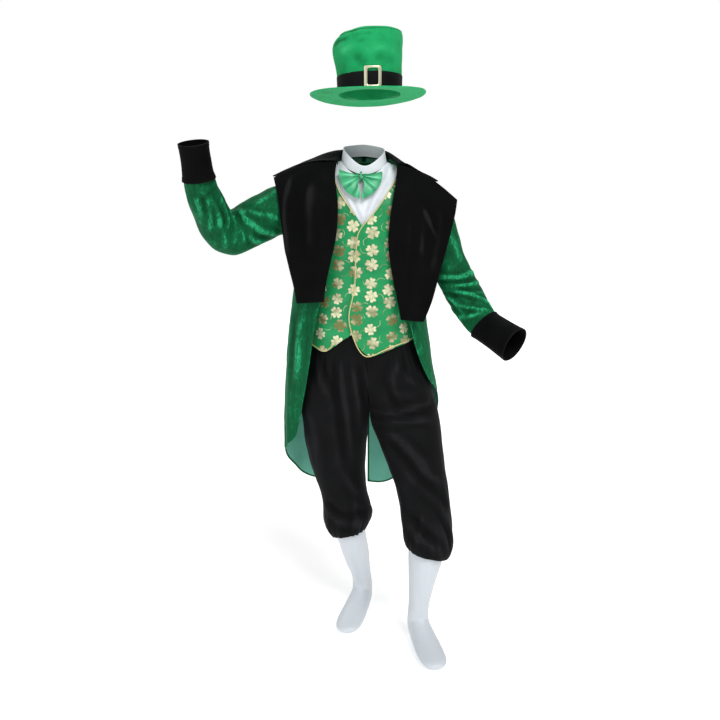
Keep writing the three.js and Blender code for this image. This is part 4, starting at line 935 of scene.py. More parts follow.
@dataclass
class ClothSheet:
    """A cut and sewn piece, grown from the CAD node of the same name.

    Attributes:
        node: The CAD node.
        wall: The cloth's thickness, in millimetres.
        core: A line inside the garment that the cloth's outer side looks away from, in millimetres.
        cut: The flat cut's width and length in metres and its area in square metres; not used.
        held: How the cloth is held; not used.
        face: The outer side's material.
        slot: The record's material slot; not used.
        back: The inner side's material, where it differs.
        rests_on: The CAD nodes it hangs from or lies on; not used.
        folds: Its creases.
        gathers: Its gathers.
        crumple: Its small unevenness.
        sink: The deepest a trough may go, in millimetres, so that it stays clear of what lies under it.
        level: How many times each face is halved.
        hem: How much thicker the free edges look, in millimetres.
        map_radii: The half width and half depth of the body that the print is laid round, in metres.
    """

    node: str
    wall: float
    core: tuple[Point, ...]
    cut: tuple[float, float, float]
    held: Held
    face: bpy.types.Material
    slot: str
    back: bpy.types.Material | None = None
    rests_on: tuple[str, ...] = ()
    folds: tuple[FoldLine, ...] = ()
    gathers: tuple[GatherRing, ...] = ()
    crumple: Crumple = Crumple()
    sink: float = 9.0
    level: int = 2
    hem: float = 0.5
    map_radii: tuple[float, float] | None = None

    def _looks_out(self, centres: np.ndarray, normals: np.ndarray) -> np.ndarray:
        """Works out how squarely each face looks away from the core.

        Args:
            centres: The faces' middles.
            normals: The faces' normals.

        Returns:
            From -1, towards the core, to 1, away from it.
        """
        core = np.array(self.core, float) * MM
        nearest = np.full(len(centres), np.inf)
        away = np.zeros_like(centres)
        for start, end in zip(core[:-1], core[1:]):
            way = end - start
            share = np.clip((centres - start) @ way / (way @ way), 0.0, 1.0)
            step = centres - start - share[:, None] * way
            distance = np.linalg.norm(step, axis=1)
            closer = distance < nearest
            nearest = np.where(closer, distance, nearest)
            away = np.where(closer[:, None], step / distance[:, None], away)
        return (away * normals).sum(axis=1)

    def _keep_outer_side(self, obj: bpy.types.Object) -> None:
        """Removes the wall's rims and its inner side.

        Args:
            obj: The joined copy of the CAD wall.
        """
        mesh = obj.data
        places = columns_of(mesh, "vertices", "co", 3)
        outward = self._looks_out(
            columns_of(mesh, "polygons", "center", 3), columns_of(mesh, "polygons", "normal", 3)
        )
        areas = columns_of(mesh, "polygons", "area", 1)[:, 0]
        rims = [self._is_rim(polygon, places) for polygon in mesh.polygons]
        islands = list(range(len(mesh.vertices)))

        def root(index: int) -> int:
            """Returns the island that a vertex belongs to."""
            while islands[index] != index:
                islands[index] = islands[islands[index]]
                index = islands[index]
            return index

        for polygon, rim in zip(mesh.polygons, rims):
            if not rim:
                for vertex in polygon.vertices:
                    islands[root(vertex)] = root(polygon.vertices[0])
        scores: dict[int, float] = {}
        for polygon, rim in zip(mesh.polygons, rims):
            island = root(polygon.vertices[0])
            if not rim:
                scores[island] = scores.get(island, 0.0) + outward[polygon.index] * areas[polygon.index]
        for polygon, rim in zip(mesh.polygons, rims):
            polygon.select = rim or scores[root(polygon.vertices[0])] < 0
        select_only(obj)
        bpy.ops.object.mode_set(mode="EDIT")
        bpy.ops.mesh.delete(type="FACE")
        bpy.ops.object.mode_set(mode="OBJECT")

    def _is_rim(self, polygon: bpy.types.MeshPolygon, places: np.ndarray) -> bool:
        """Tells whether a face joins the two sides of the wall.

        Args:
            polygon: The face.
            places: The mesh's vertices.

        Returns:
            True where one of its edges is as long as the wall is thick.
        """
        ring = places[list(polygon.vertices)]
        lengths = np.linalg.norm(ring - np.roll(ring, 1, axis=0), axis=1)
        return bool((abs(lengths - self.wall * MM) < RIM_SLACK).any())

    def _edge_distance(self, mesh: bpy.types.Mesh, places: np.ndarray) -> np.ndarray:
        """Measures how far each vertex is from the sheet's free edge.

        Args:
            mesh: The sheet.
            places: Its vertices.

        Returns:
            The distances in metres.
        """
        uses = np.bincount(columns_of(mesh, "loops", "edge_index", 1)[:, 0].astype(int))
        ends = columns_of(mesh, "edges", "vertices", 2).astype(int)
        border = np.unique(ends[uses == 1])
        tree = KDTree(len(border))
        for slot, index in enumerate(border):
            tree.insert(places[index], slot)
        tree.balance()
        return np.fromiter((tree.find(place)[2] for place in places), float, len(places))

    def _shape(self, obj: bpy.types.Object) -> None:
        """Lays the creases, gathers and hems on the sheet and stores what the material reads, from which it
        paints highlights on the crests and free edges and shade in the hollows.

        Args:
            obj: The sheet's outer side.
        """
        mesh = obj.data
        places = columns_of(mesh, "vertices", "co", 3)
        normals = columns_of(mesh, "vertices", "normal", 3)
        lift = self.crumple.heights(places)
        for shape in (*self.folds, *self.gathers):
            lift = lift + shape.heights(places)
        lift = np.maximum(lift, -self.sink * MM)
        edge = self._edge_distance(mesh, places)
        hem = self.hem * MM * np.clip((HEM_REACH - edge) / HEM_EASE, 0.0, 1.0)
        moved = places + normals * (lift + hem)[:, None]
        mesh.vertices.foreach_set("co", moved.ravel())
        # Free edges get a painted highlight, as if a rolled edge caught the light.
        rim_highlight = EDGE_HIGHLIGHT * np.exp(-((edge / EDGE_HIGHLIGHT_REACH) ** 2))
        # The stored crease lift tells the material where to paint highlights on crests and shade in
        # hollows.
        painted_light = np.clip(lift / CREASE_FULL, -1.0, 1.0) + rim_highlight
        for name, values in (("painted_light", painted_light), ("edge", edge)):
            mesh.attributes.new(name, "FLOAT", "POINT").data.foreach_set("value", values)
        self._map(mesh, places)

    def _map(self, mesh: bpy.types.Mesh, places: np.ndarray) -> None:
        """Lays the flat map on the sheet, in metres, where the cloth is printed.

        Args:
            mesh: The sheet.
            places: Its vertices before the creases.
        """
        if self.map_radii is None:
            return
        wide, deep = self.map_radii
        turns = np.linspace(-math.pi, math.pi, 721)
        steps = np.hypot(wide * np.cos(turns), deep * np.sin(turns)) * (turns[1] - turns[0])
        arc = np.cumsum(steps) - np.cumsum(steps)[len(turns) // 2]
        angle = np.arctan2(places[:, 0] / wide, -places[:, 1] / deep)
        flat = np.column_stack([np.interp(angle, turns, arc), places[:, 2]])
        layer = mesh.uv_layers.new(name="cut")
        of_loop = columns_of(mesh, "loops", "vertex_index", 1)[:, 0].astype(int)
        layer.data.foreach_set("uv", flat[of_loop].ravel())

    def build(self) -> bpy.types.Object:
        """Returns:
            The finished piece.
        """
        obj = joined_copy(self.node, f"{self.node}_cloth")
        self._keep_outer_side(obj)
        while obj.data.uv_layers:
            obj.data.uv_layers.remove(obj.data.uv_layers[0])
        apply_modifier(obj, "SUBSURF", levels=self.level, render_levels=self.level,
                       boundary_smooth="PRESERVE_CORNERS")
        self._shape(obj)
        obj.data.materials.append(self.face)
        if self.back:
            obj.data.materials.append(self.back)
        apply_modifier(obj, "SOLIDIFY", thickness=self.wall * MM, offset=-1.0,
                       material_offset=1 if self.back else 0)
        select_only(obj)
        bpy.ops.object.shade_smooth_by_angle(angle=math.radians(60))
        place_piece(obj, self.node)
        return obj


@dataclass
class SolidTrim:
    """A small closed piece, rounded from its CAD node.

    Attributes:
        node: The CAD node.
        face: Its material.
        slot: The record's material slot; not used.
        level: How many times each face is halved.
        smooth: The angle in degrees below which edges look round.
        pleats: The pleats of its front, where it has any.
    """

    node: str
    face: bpy.types.Material
    slot: str
    level: int = 1
    smooth: float = 50.0
    pleats: Pleats | None = None

    def build(self) -> bpy.types.Object:
        """Makes the piece.

        Returns:
            The finished piece.
        """
        obj = joined_copy(self.node, f"{self.node}_trim")
        apply_modifier(obj, "SUBSURF", levels=self.level, render_levels=self.level)
        if self.pleats:
            self._pleat(obj.data)
        obj.data.materials.append(self.face)
        select_only(obj)
        bpy.ops.object.shade_smooth_by_angle(angle=math.radians(self.smooth))
        place_piece(obj, self.node)
        return obj

    def _pleat(self, mesh: bpy.types.Mesh) -> None:
        """Lays the pleats on the side that faces the front and stores their lift, from which the material
        paints highlights on the crests and shade between them.

        Args:
            mesh: The piece's mesh.
        """
        places = columns_of(mesh, "vertices", "co", 3)
        normals = columns_of(mesh, "vertices", "normal", 3)
        lift = self.pleats.heights(places) * np.clip(-2.0 * normals[:, 1], 0.0, 1.0)
        places[:, 1] -= lift
        mesh.vertices.foreach_set("co", places.ravel())
        # The stored lift gives the pleats painted highlights on their crests and painted shade between
        # them.
        painted_light = np.clip(lift / PLEAT_FULL, -1.0, 1.0)
        mesh.attributes.new("painted_light", "FLOAT", "POINT").data.foreach_set("value", painted_light)


def place_piece(obj: bpy.types.Object, node: str) -> None:
    """Ties a piece to the frame, hides the CAD node it stands for, and reports it.

    Args:
        obj: The finished piece.
        node: The CAD node.
    """
    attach(obj, "root")
    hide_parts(node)
    log.info("%s: %d faces", obj.name, len(obj.data.polygons))


# Each row is one crease: its height, its half width and the places it runs through, in millimetres.
FOLD_ROWS: dict[str, tuple[tuple[float | Point, ...], ...]] = {
    "hat_crown": (
        (-2.6, 7, (-32, -92, 412), (-4, -100, 417), (24, -102, 416)),
        (-2.2, 7, (38, -102, 418), (66, -93, 416), (88, -76, 414)),
        (-3.5, 9, (-84, -20, 392), (-76, -52, 400), (-56, -78, 405)),
        (2.2, 13, (-72, -62, 368), (-40, -90, 378), (2, -103, 372)),
        (-2.2, 14, (-66, -66, 332), (-30, -96, 340), (20, -106, 334)),
        (2.0, 13, (40, -104, 384), (74, -90, 372), (102, -56, 366)),
        (-1.8, 12, (30, -106, 345), (68, -94, 352), (98, -62, 340)),
    ),
    "coat_sleeve_right": (
        (4, 9, (-492, -142, -21), (-483, -217, -64), (-477, -195, -111)),
        (4.5, 8, (-471, -142, -16), (-455, -213, -64), (-451, -192, -111), (-463, -168, -164)),
        (4, 8, (-449, -155, -16), (-444, -207, -59), (-429, -182, -106), (-431, -168, -154)),
        (4, 8, (-431, -190, -39), (-416, -164, -81), (-404, -149, -123), (-410, -150, -155)),
        (5, 8, (-407, -136, -84), (-395, -121, -114), (-385, -136, -145), (-364, -121, -189)),
        (3.5, 9, (-430, -182, -111), (-419, -159, -160), (-423, -133, -210)),
        (6, 10, (-387, -96, -96), (-354, -119, -125), (-313, -110, -158), (-263, -47, -173)),
        (5, 9, (-377, -110, -106), (-359, -128, -151), (-336, -105, -190), (-298, -64, -192)),
        (4, 9, (-378, -98, -96), (-322, -112, -106), (-260, -84, -121)),
        (-5, 8, (-386, -106, -104), (-370, -124, -130), (-355, -125, -162), (-351, -114, -190)),
        (-4, 7, (-395, -121, -114), (-380, -136, -156), (-369, -127, -183)),
        (-3.5, 9, (-483, -135, -24), (-468, -217, -64), (-464, -195, -111)),
        (3, 10, (-335, -95, -78), (-293, -74, -54), (-267, -55, -35)),
    ),
    "coat_sleeve_left": (
        (6, 8, (232, -88, -304), (271, -125, -299), (309, -118, -293), (340, -80, -286)),
        (-6, 8, (233, -85, -312), (268, -124, -316), (316, -129, -313), (348, -99, -307)),
        (5, 7, (254, -117, -323), (290, -132, -323), (327, -131, -317), (357, -91, -314)),
        (-5, 7, (238, -95, -330), (283, -133, -333), (326, -144, -332), (369, -108, -340)),
        (5, 7, (251, -110, -333), (296, -147, -340), (340, -153, -352), (379, -144, -375),
         (398, -150, -399)),
        (-4, 7, (263, -113, -350), (299, -155, -355), (347, -162, -369)),
        (5, 7, (260, -106, -356), (289, -153, -378), (331, -172, -386), (379, -174, -395)),
        (-4, 7, (282, -147, -365), (313, -165, -377), (357, -168, -381)),
        (4, 7, (249, -83, -356), (272, -136, -376), (303, -163, -404)),
        (-3, 7, (267, -57, -381), (283, -141, -402)),
        (4, 9, (290, -139, -421), (324, -177, -407), (359, -182, -396)),
        (-3.5, 8, (303, -163, -404), (334, -177, -395), (360, -175, -389)),
        (3, 12, (267, -74, -170), (286, -79, -214), (304, -94, -258)),
    ),
    "breeches_left": (
        (4, 14, (107, -110, -568), (90, -122, -617), (87, -125, -663)),
        (-5, 11, (75, -123, -632), (90, -125, -684), (108, -131, -719)),
        (4, 11, (87, -125, -666), (128, -124, -675), (174, -111, -673), (220, -47, -680)),
        (4, 12, (118, -134, -729), (163, -127, -711), (212, -86, -701)),
        (-4, 10, (118, -135, -739), (174, -130, -730), (223, -78, -718)),
        (4, 10, (18, -81, -735), (88, -129, -731), (133, -133, -721)),
        (3.5, 11, (28, -69, -776), (113, -139, -761), (189, -133, -756), (222, -107, -758)),
        (-3, 9, (38, -85, -786), (118, -143, -774), (199, -132, -771)),
        (5, 13, (78, -131, -793), (128, -157, -823), (163, -166, -851), (203, -172, -891)),
        (-6, 12, (88, -144, -831), (133, -171, -875), (177, -190, -926), (218, -193, -957)),
        (4, 14, (108, -150, -813), (158, -170, -865), (203, -182, -916), (245, -171, -950)),
        (4, 10, (256, -170, -972), (266, -171, -1004), (272, -172, -1025)),
        (5, 13, (137, -213, -1056), (161, -244, -1090), (200, -263, -1119), (235, -266, -1144)),
        (-5, 11, (147, -212, -1040), (181, -243, -1075), (225, -257, -1106)),
        (4, 12, (187, -201, -965), (238, -202, -1012), (269, -206, -1065)),
        (3, 12, (138, -105, -595), (153, -109, -636), (190, -94, -661)),
        (-3.5, 10, (123, -100, -545), (128, -106, -585), (154, -104, -622)),
    ),
    "breeches_right": (
        (-4, 10, (-134, -95, -567), (-127, -105, -600), (-99, -119, -649), (-90, -122, -695)),
        (4, 12, (-148, -84, -569), (-143, -99, -618), (-120, -118, -681)),
        (-5, 12, (-94, -113, -567), (-92, -120, -633), (-80, -122, -732), (-70, -115, -830),
         (-55, -113, -912)),
        (4, 13, (-74, -118, -566), (-67, -122, -638), (-54, -120, -733), (-40, -106, -833)),
        (-4, 12, (-16, -122, -581), (-6, -117, -639), (7, -98, -713)),
        (3.5, 12, (-39, -122, -566), (-31, -121, -633), (-19, -112, -714), (-14, -91, -806)),
        (4, 13, (-66, -119, -937), (-30, -116, -999), (7, -97, -1045)),
        (-4.5, 11, (-127, -102, -1032), (-97, -132, -1059), (-55, -143, -1073), (-4, -128, -1071)),
        (4, 12, (-124, -108, -1058), (-92, -141, -1088), (-45, -150, -1101), (7, -127, -1089)),
        (4, 11, (-35, -128, -1032), (-4, -118, -1053), (23, -87, -1078)),
        (3.5, 14, (-178, -97, -729), (-153, -106, -833), (-138, -111, -940)),
    ),
    "vest_front_left": (
        (2, 12, (-19, -133, -334), (39, -131, -324), (87, -119, -347)),
        (-1.8, 10, (-25, -134, -256), (22, -134, -274), (74, -125, -269)),
        (2, 12, (-26, -130, -447), (22, -130, -411), (75, -121, -400)),
        (-2, 12, (-14, -132, -489), (40, -130, -465), (100, -112, -456)),
        (2, 10, (4, -132, -152), (39, -132, -199), (74, -126, -222)),
    ),
    "vest_front_right": (
        (2, 10, (-37, -129, -176), (-60, -126, -222), (-90, -118, -246)),
        (-2, 10, (-34, -130, -257), (-72, -122, -293), (-114, -105, -301)),
        (2, 10, (-43, -127, -346), (-85, -116, -377), (-128, -94, -374)),
        (-2, 10, (-49, -123, -424), (-97, -111, -438), (-144, -81, -437)),
        (2, 12, (-62, -123, -472), (-110, -107, -481), (-147, -82, -468)),
    ),
    "coat_lapel_right": (
        (4, 9, (-222, -60, 2), (-239, -92, -51), (-243, -107, -115), (-235, -116, -222)),
        (-3, 16, (-193, -84, -8), (-202, -118, -87), (-198, -130, -194)),
        (2.5, 14, (-159, -95, -8), (-164, -132, -114), (-167, -141, -220)),
    ),
    "coat_lapel_left": (
        (4, 8, (179, -122, -90), (200, -125, -134), (215, -125, -174)),
        (3, 10, (168, -135, -155), (172, -137, -191), (169, -140, -227)),
        (-3, 12, (157, -128, -101), (161, -137, -173), (154, -143, -245)),
        (2.5, 12, (232, -107, -102), (229, -121, -174), (207, -135, -283)),
    ),
    "coat_front_right": (
        (4, 14, (-191, -93, -405), (-205, -90, -503), (-216, -89, -628)),
        (-3, 12, (-221, -61, -422), (-232, -65, -539), (-240, -68, -665)),
    ),
    "shirt_front": (
        (2.2, 5, (-48, -98, -57), (-34, -110, -96), (-11, -117, -130)),
        (-2, 5, (-31, -99, -57), (-19, -110, -96), (-6, -117, -130)),
        (2.2, 5, (4, -99, -57), (3, -109, -91), (-4, -117, -130)),
        (-2, 5, (27, -94, -45), (19, -106, -79), (7, -112, -102)),
        (2, 6, (63, -68, 0), (45, -93, -45), (24, -108, -85)),
        (2, 6, (95, -11, 39), (78, -57, 12), (57, -82, -22)),
        (-2, 6, (69, -37, 35), (66, -64, 6), (60, -78, -17)),
    ),
}
FOLDS: dict[str, tuple[FoldLine, ...]] = {
    node: tuple(FoldLine(tuple(points), deep, wide) for deep, wide, *points in rows)
    for node, rows in FOLD_ROWS.items()
}


@dataclass
class Finishes:
    """All the materials, made once and shared."""

    nap: bpy.types.NodeTree = field(default_factory=lambda: NapAndCreaseLight().build())
    pile: bpy.types.NodeTree = field(default_factory=lambda: NapAndCreaseLight("Crushed pile and painted crease light", 2.4, 0.9).build())
    clovers: bpy.types.NodeTree = field(default_factory=lambda: CloverPrint().build())
    made: dict[str, bpy.types.Material] = field(default_factory=dict)

    def build(self) -> None:
        """Makes every material and keeps it under its finish's name."""
        # Each cloth's three colours are painted shade down in its creases, its own colour, and a painted
        # highlight on the crests and free edges; the nap's streaks take the outer two as well.
        cloths = (
            ClothFinish(
                "Green velvet", (0.0012, 0.026, 0.010), (0.0025, 0.092, 0.031), (0.022, 0.36, 0.15), 0.7,
                creases=0.72, streaks=0.6, streak_scale=(60.0, 60.0, 20.0), sheen=0.16,
                sheen_tint=(0.15, 0.8, 0.4), gloss=0.08, crush=0.5, crush_scale=(60.0, 60.0, 24.0),
            ),
            # The velvet back's own pale green is made lighter still, to stand in for light shining through
            # the cloth: painted light.
            ClothFinish(
                "Velvet back", (0.10, 0.36, 0.26), (0.17, 0.52, 0.39), (0.24, 0.62, 0.48), 0.85,
                creases=0.4, streaks=0.6, sheen=0.1, bound=(0.002, 0.10, 0.030),
            ),
            ClothFinish(
                "Satin back", (0.004, 0.09, 0.035), (0.008, 0.16, 0.06), (0.02, 0.24, 0.10), 0.6,
                creases=0.4, streaks=0.3, sheen=0.1,
            ),
            ClothFinish(
                "Black velvet", (0.0010, 0.0010, 0.0012), (0.0028, 0.0029, 0.0031),
                (0.012, 0.012, 0.013), 0.75, creases=1.1, streaks=0.8, streak_scale=(20.0, 20.0, 6.0),
                sheen=0.035, sheen_tint=(0.7, 0.7, 0.75), gloss=0.04,
            ),
            ClothFinish(
                "Black knit", (0.0018, 0.0019, 0.0021), (0.0042, 0.0044, 0.0050),
                (0.011, 0.011, 0.0125), 0.7, creases=1.0, streaks=0.3, sheen=0.03,
                sheen_tint=(0.7, 0.7, 0.75), grain_scale=(1200.0, 1200.0, 500.0), gloss=0.08,
            ),
            ClothFinish(
                "White cotton", (0.42, 0.47, 0.56), (0.76, 0.79, 0.84), (0.88, 0.89, 0.92), 0.8,
                creases=0.9, streaks=0.1, sheen=0.1,
            ),
            ClothFinish(
                "White knit", (0.42, 0.47, 0.52), (0.55, 0.59, 0.63), (0.66, 0.70, 0.73), 0.4,
                creases=0.5, streaks=0.3, streak_scale=(70.0, 70.0, 4.0), sheen=0.1,
                grain_scale=(900.0, 900.0, 250.0), gloss=0.6,
            ),
            ClothFinish(
                "Bow satin", (0.006, 0.18, 0.07), (0.036, 0.40, 0.17), (0.18, 0.70, 0.40), 0.36,
                creases=1.0, streaks=0.5, streak_scale=(30.0, 30.0, 60.0), sheen=0.1, gloss=0.5,
            ),
            ClothFinish(
                "Hat felt", (0.004, 0.18, 0.055), (0.014, 0.37, 0.120), (0.045, 0.52, 0.20), 0.85,
                creases=1.0, streaks=0.9, streak_scale=(20.0, 20.0, 26.0), sheen=0.15,
                sheen_tint=(0.4, 1.0, 0.6), grain_scale=(500.0, 500.0, 500.0), grain_deep=0.0008,
            ),
            ClothFinish(
                "Black ribbon", (0.002, 0.002, 0.002), (0.0045, 0.005, 0.0052), (0.010, 0.011, 0.011), 0.5,
                streaks=0.3, streak_scale=(6.0, 6.0, 200.0), sheen=0.03, grain_scale=(300.0, 300.0, 1500.0),
                gloss=0.12,
            ),
        )
        for cloth in cloths:
            self.made[cloth.name] = cloth.build(self.pile if cloth.crush else self.nap)
        satin = FoilPrint()
        self.made[satin.name] = satin.build(self.nap, self.clovers)
        for trim in (
            PlainFinish("Gold plastic", (0.86, 0.80, 0.58), 0.34, metallic=0.7, relief_deep=0.00002),
            PlainFinish(
                "Gold cord", (0.66, 0.58, 0.27), 0.42, metallic=0.35, relief_scale=(500.0, 500.0, 900.0)
            ),
        ):
            self.made[trim.name] = trim.build()

    def __getitem__(self, name: str) -> bpy.types.Material:
        """Returns the material of that name."""
        return self.made[name]


BODY: tuple[Point, ...] = ((0, 0, -1100), (0, 0, -110))
HEAD: tuple[Point, ...] = ((17, 10, 200), (17, 19, 400))
FAR_BELOW_HAT: tuple[Point, ...] = ((17, 10, -800), (17, 10, -700))


@dataclass
class Hat:
    """A top hat of felt with a ribbon and a buckle.

    Attributes:
        felt_wall: The felt's thickness at the crown, in millimetres.
        brim_wall: Its thickness at the brim.
        ribbon_wall: The ribbon's thickness.
    """

    felt_wall: float = 2.4
    brim_wall: float = 3.0
    ribbon_wall: float = 1.6

    def build(self, finishes: Finishes) -> None:
        """Makes the hat's pieces.

        Args:
            finishes: The materials.
        """
        felt = finishes["Hat felt"]
        ClothSheet(
            "hat_crown", self.felt_wall, HEAD, (0.66, 0.175, 0.11), Held.STRETCHED, felt, "hat_felt",
            rests_on=("hat_brim",), folds=FOLDS["hat_crown"], crumple=Crumple(1.1, 38, 4), level=3,
            hem=0.3,
        ).build()
        ClothSheet(
            "hat_top", self.felt_wall, FAR_BELOW_HAT, (0.225, 0.225, 0.0355), Held.STRETCHED, felt,
            "hat_felt", rests_on=("hat_crown",), crumple=Crumple(1.2, 40, 5), level=2, hem=0.8,
        ).build()
        ClothSheet(
            "hat_brim", self.brim_wall, FAR_BELOW_HAT, (0.36, 0.34, 0.08), Held.STRETCHED, felt, "hat_felt",
            rests_on=("hat_crown",), crumple=Crumple(0.6, 60, 6), level=3, hem=0.3,
        ).build()
        ClothSheet(
            "hat_band", self.ribbon_wall, HEAD, (0.56, 0.0525, 0.029), Held.STRETCHED,
            finishes["Black ribbon"], "hat_ribbon", rests_on=("hat_crown",), crumple=Crumple(0.25, 40, 7),
            level=2, hem=0.0,
        ).build()
        SolidTrim("hat_buckle", finishes["Gold plastic"], "hat_buckle", level=2).build()


@dataclass
class Tailcoat:
    """A velvet tailcoat with broad lapels, a wide collar and turned cuffs.

    Attributes:
        wall: The velvet's thickness, in millimetres.
        double_wall: The thickness of the faced pieces.
        arm_left: A line down the left arm.
        arm_right: A line down the right arm.
    """

    wall: float = 2.5
    double_wall: float = 3.0
    arm_left: tuple[Point, ...] = (
        (210, 0, -100), (246, -25, -190), (285, -61, -302),
        (332, -116, -392), (376, -162, -447), (452, -230, -489),
    )
    arm_right: tuple[Point, ...] = (
        (-218, 0, -92), (-318, -38, -122), (-418, -84, -164),
        (-462, -136, -106), (-478, -184, -28), (-488, -221, 100),
    )

    def _panels(self, finishes: Finishes) -> None:
        """Makes the backs and the fronts.

        Args:
            finishes: The materials.
        """
        cuts = {
            "coat_back_left": (0.40, 1.12, 0.30),
            "coat_back_right": (0.42, 1.10, 0.345),
            "coat_front_left": (0.20, 0.76, 0.10),
            "coat_front_right": (0.22, 0.96, 0.145),
        }
        for index, (node, cut) in enumerate(cuts.items()):
            under = "front" in node
            ClothSheet(
                node, self.wall, BODY, cut, Held.HUNG, finishes["Green velvet"], "green_velvet",
                back=finishes["Velvet back"], rests_on=("vest_back",), folds=FOLDS.get(node, ()),
                crumple=Crumple(0.8 if under else 1.6, 60, 10 + index), level=3,
            ).build()

    def _sleeves(self, finishes: Finishes) -> None:
        """Makes the sleeves and their cuffs.

        Args:
            finishes: The materials.
        """
        sides = {
            "left": (self.arm_left, (0.42, 0.50, 0.165), (0.38, 0.115, 0.042)),
            "right": (self.arm_right, (0.44, 0.52, 0.185), (0.40, 0.085, 0.031)),
        }
        for index, (side, (arm, sleeve, cuff)) in enumerate(sides.items()):
            ClothSheet(
                f"coat_sleeve_{side}", self.wall, arm, sleeve, Held.HUNG, finishes["Green velvet"],
                "green_velvet", rests_on=(f"coat_back_{side}",), folds=FOLDS[f"coat_sleeve_{side}"],
                crumple=Crumple(1.5, 42, 20 + index), level=3, hem=0.0,
            ).build()
            ClothSheet(
                f"coat_cuff_{side}", self.double_wall, arm, cuff, Held.FOLDED, finishes["Black velvet"],
                "black_velvet", rests_on=(f"coat_sleeve_{side}",), crumple=Crumple(0.9, 50, 30 + index),
                level=3, hem=0.8,
            ).build()

    def _collar(self, finishes: Finishes) -> None:
        """Makes the lapels and the collar.

        Args:
            finishes: The materials.
        """
        velvet = finishes["Black velvet"]
        cuts = {
            "coat_lapel_left": (0.19, 0.50, 0.077),
            "coat_lapel_right": (0.19, 0.50, 0.078),
            "coat_collar": (0.62, 0.21, 0.10),
        }
        for index, (node, cut) in enumerate(cuts.items()):
            ClothSheet(
                node, self.double_wall, BODY, cut, Held.FOLDED, velvet, "black_velvet",
                rests_on=("coat_front_left", "coat_front_right"), folds=FOLDS.get(node, ()),
                crumple=Crumple(0.8, 55, 40 + index), sink=0.6, level=3, hem=1.6,
            ).build()

    def build(self, finishes: Finishes) -> None:
        """Makes the coat's pieces.

        Args:
            finishes: The materials.
        """
        self._panels(finishes)
        self._sleeves(finishes)
        self._collar(finishes)


@dataclass
class Waistcoat:
    """A printed satin waistcoat with gold piping along its front edges.

    Attributes:
        wall: The satin's thickness, in millimetres.
        body: The half width and half depth that the print is laid round, in metres.
    """

    wall: float = 2.0
    body: tuple[float, float] = (0.178, 0.130)

    def build(self, finishes: Finishes) -> None:
        """Makes the waistcoat's pieces.

        Args:
            finishes: The materials.
        """
        cuts = {
            "vest_front_left": (0.28, 0.62, 0.136),
            "vest_front_right": (0.26, 0.60, 0.116),
            "vest_back": (0.44, 0.66, 0.256),
        }
        for index, (node, cut) in enumerate(cuts.items()):
            ClothSheet(
                node, self.wall, BODY, cut, Held.HUNG, finishes["Printed satin"], "printed_satin",
                back=finishes["Satin back"], rests_on=("shirt_front",), folds=FOLDS.get(node, ()),
                crumple=Crumple(0.5, 50, 50 + index), sink=1.2, level=2, hem=0.2, map_radii=self.body,
            ).build()
        for node in ("vest_piping_left", "vest_piping_right_neck", "vest_piping_right_hem"):
            SolidTrim(node, finishes["Gold cord"], "gold_piping").build()


@dataclass
class ShirtAndBow:
    """A white shirt front with a stand collar and a light green satin bow.

    Attributes:
        wall: The cotton's thickness, in millimetres.
        pinch: Where the bow is pinched, in millimetres.
    """

    wall: float = 2.0
    pinch: Point = (-9, -84, 6)

    def build(self, finishes: Finishes) -> None:
        """Makes the shirt front, its collar and the bow.

        Args:
            finishes: The materials.
        """
        cotton = finishes["White cotton"]
        ClothSheet(
            "shirt_front", self.wall, BODY, (0.30, 0.36, 0.079), Held.HUNG, cotton, "white_cotton",
            rests_on=("shirt_collar",), folds=FOLDS["shirt_front"], crumple=Crumple(0.5, 30, 60),
            sink=1.5, level=3,
        ).build()
        ClothSheet(
            "shirt_collar", self.wall, ((0, 0, -100), (0, 0, 100)), (0.42, 0.038, 0.0155), Held.FOLDED,
            cotton, "white_cotton", rests_on=("shirt_front",), crumple=Crumple(0.3, 30, 61), sink=0.3,
            level=2, hem=0.4,
        ).build()
        pleats = Pleats(self.pinch, 13.0, 1.3)
        for node in ("bow_left", "bow_right"):
            SolidTrim(node, finishes["Bow satin"], "bow_satin", level=2, smooth=70.0, pleats=pleats).build()
        SolidTrim("bow_knot", finishes["Bow satin"], "bow_satin", level=2, smooth=70.0).build()


@dataclass
class Breeches:
    """Black knit breeches, gathered at the waist and below the knees.

    Attributes:
        wall: The knit's thickness, in millimetres.
        band_wall: The waistband's thickness.
        leg_left: A line down the left leg.
        leg_right: A line down the right leg.
    """

    wall: float = 1.6
    band_wall: float = 2.0
    leg_left: tuple[Point, ...] = ((60, 0, -500), (120, -10, -700), (170, -90, -950), (205, -185, -1150))
    leg_right: tuple[Point, ...] = ((-60, 0, -500), (-95, -10, -750), (-75, -45, -950), (-48, -80, -1130))

    def build(self, finishes: Finishes) -> None:
        """Makes the legs and the waistband.

        Args:
            finishes: The materials.
        """
        knit = finishes["Black knit"]
        sides = {
            "left": (self.leg_left, (0.66, 0.78, 0.46), (202, -189)),
            "right": (self.leg_right, (0.66, 0.74, 0.43), (-48, -82)),
        }
        for index, (side, (leg, cut, knee)) in enumerate(sides.items()):
            waist = GatherRing((0, 0), -500, -565, -720, 58, 1.6, 70 + index)
            band = GatherRing(knee, -1175, -1135, -1050, 21, 2.4, 80 + index)
            puffs = GatherRing(knee, -1165, -1100, -980, 7, 4.5, 84 + index)
            ClothSheet(
                f"breeches_{side}", self.wall, leg, cut, Held.GATHERED, knit, "black_knit",
                rests_on=("breeches_waistband",), folds=FOLDS[f"breeches_{side}"],
                gathers=(waist, band, puffs), crumple=Crumple(1.3, 55, 90 + index), level=2, hem=0.0,
            ).build()
        ClothSheet(
            "breeches_waistband", self.band_wall, BODY, (0.90, 0.036, 0.032), Held.GATHERED, knit,
            "black_knit", rests_on=("breeches_left", "breeches_right"), level=1, hem=0.0,
        ).build()


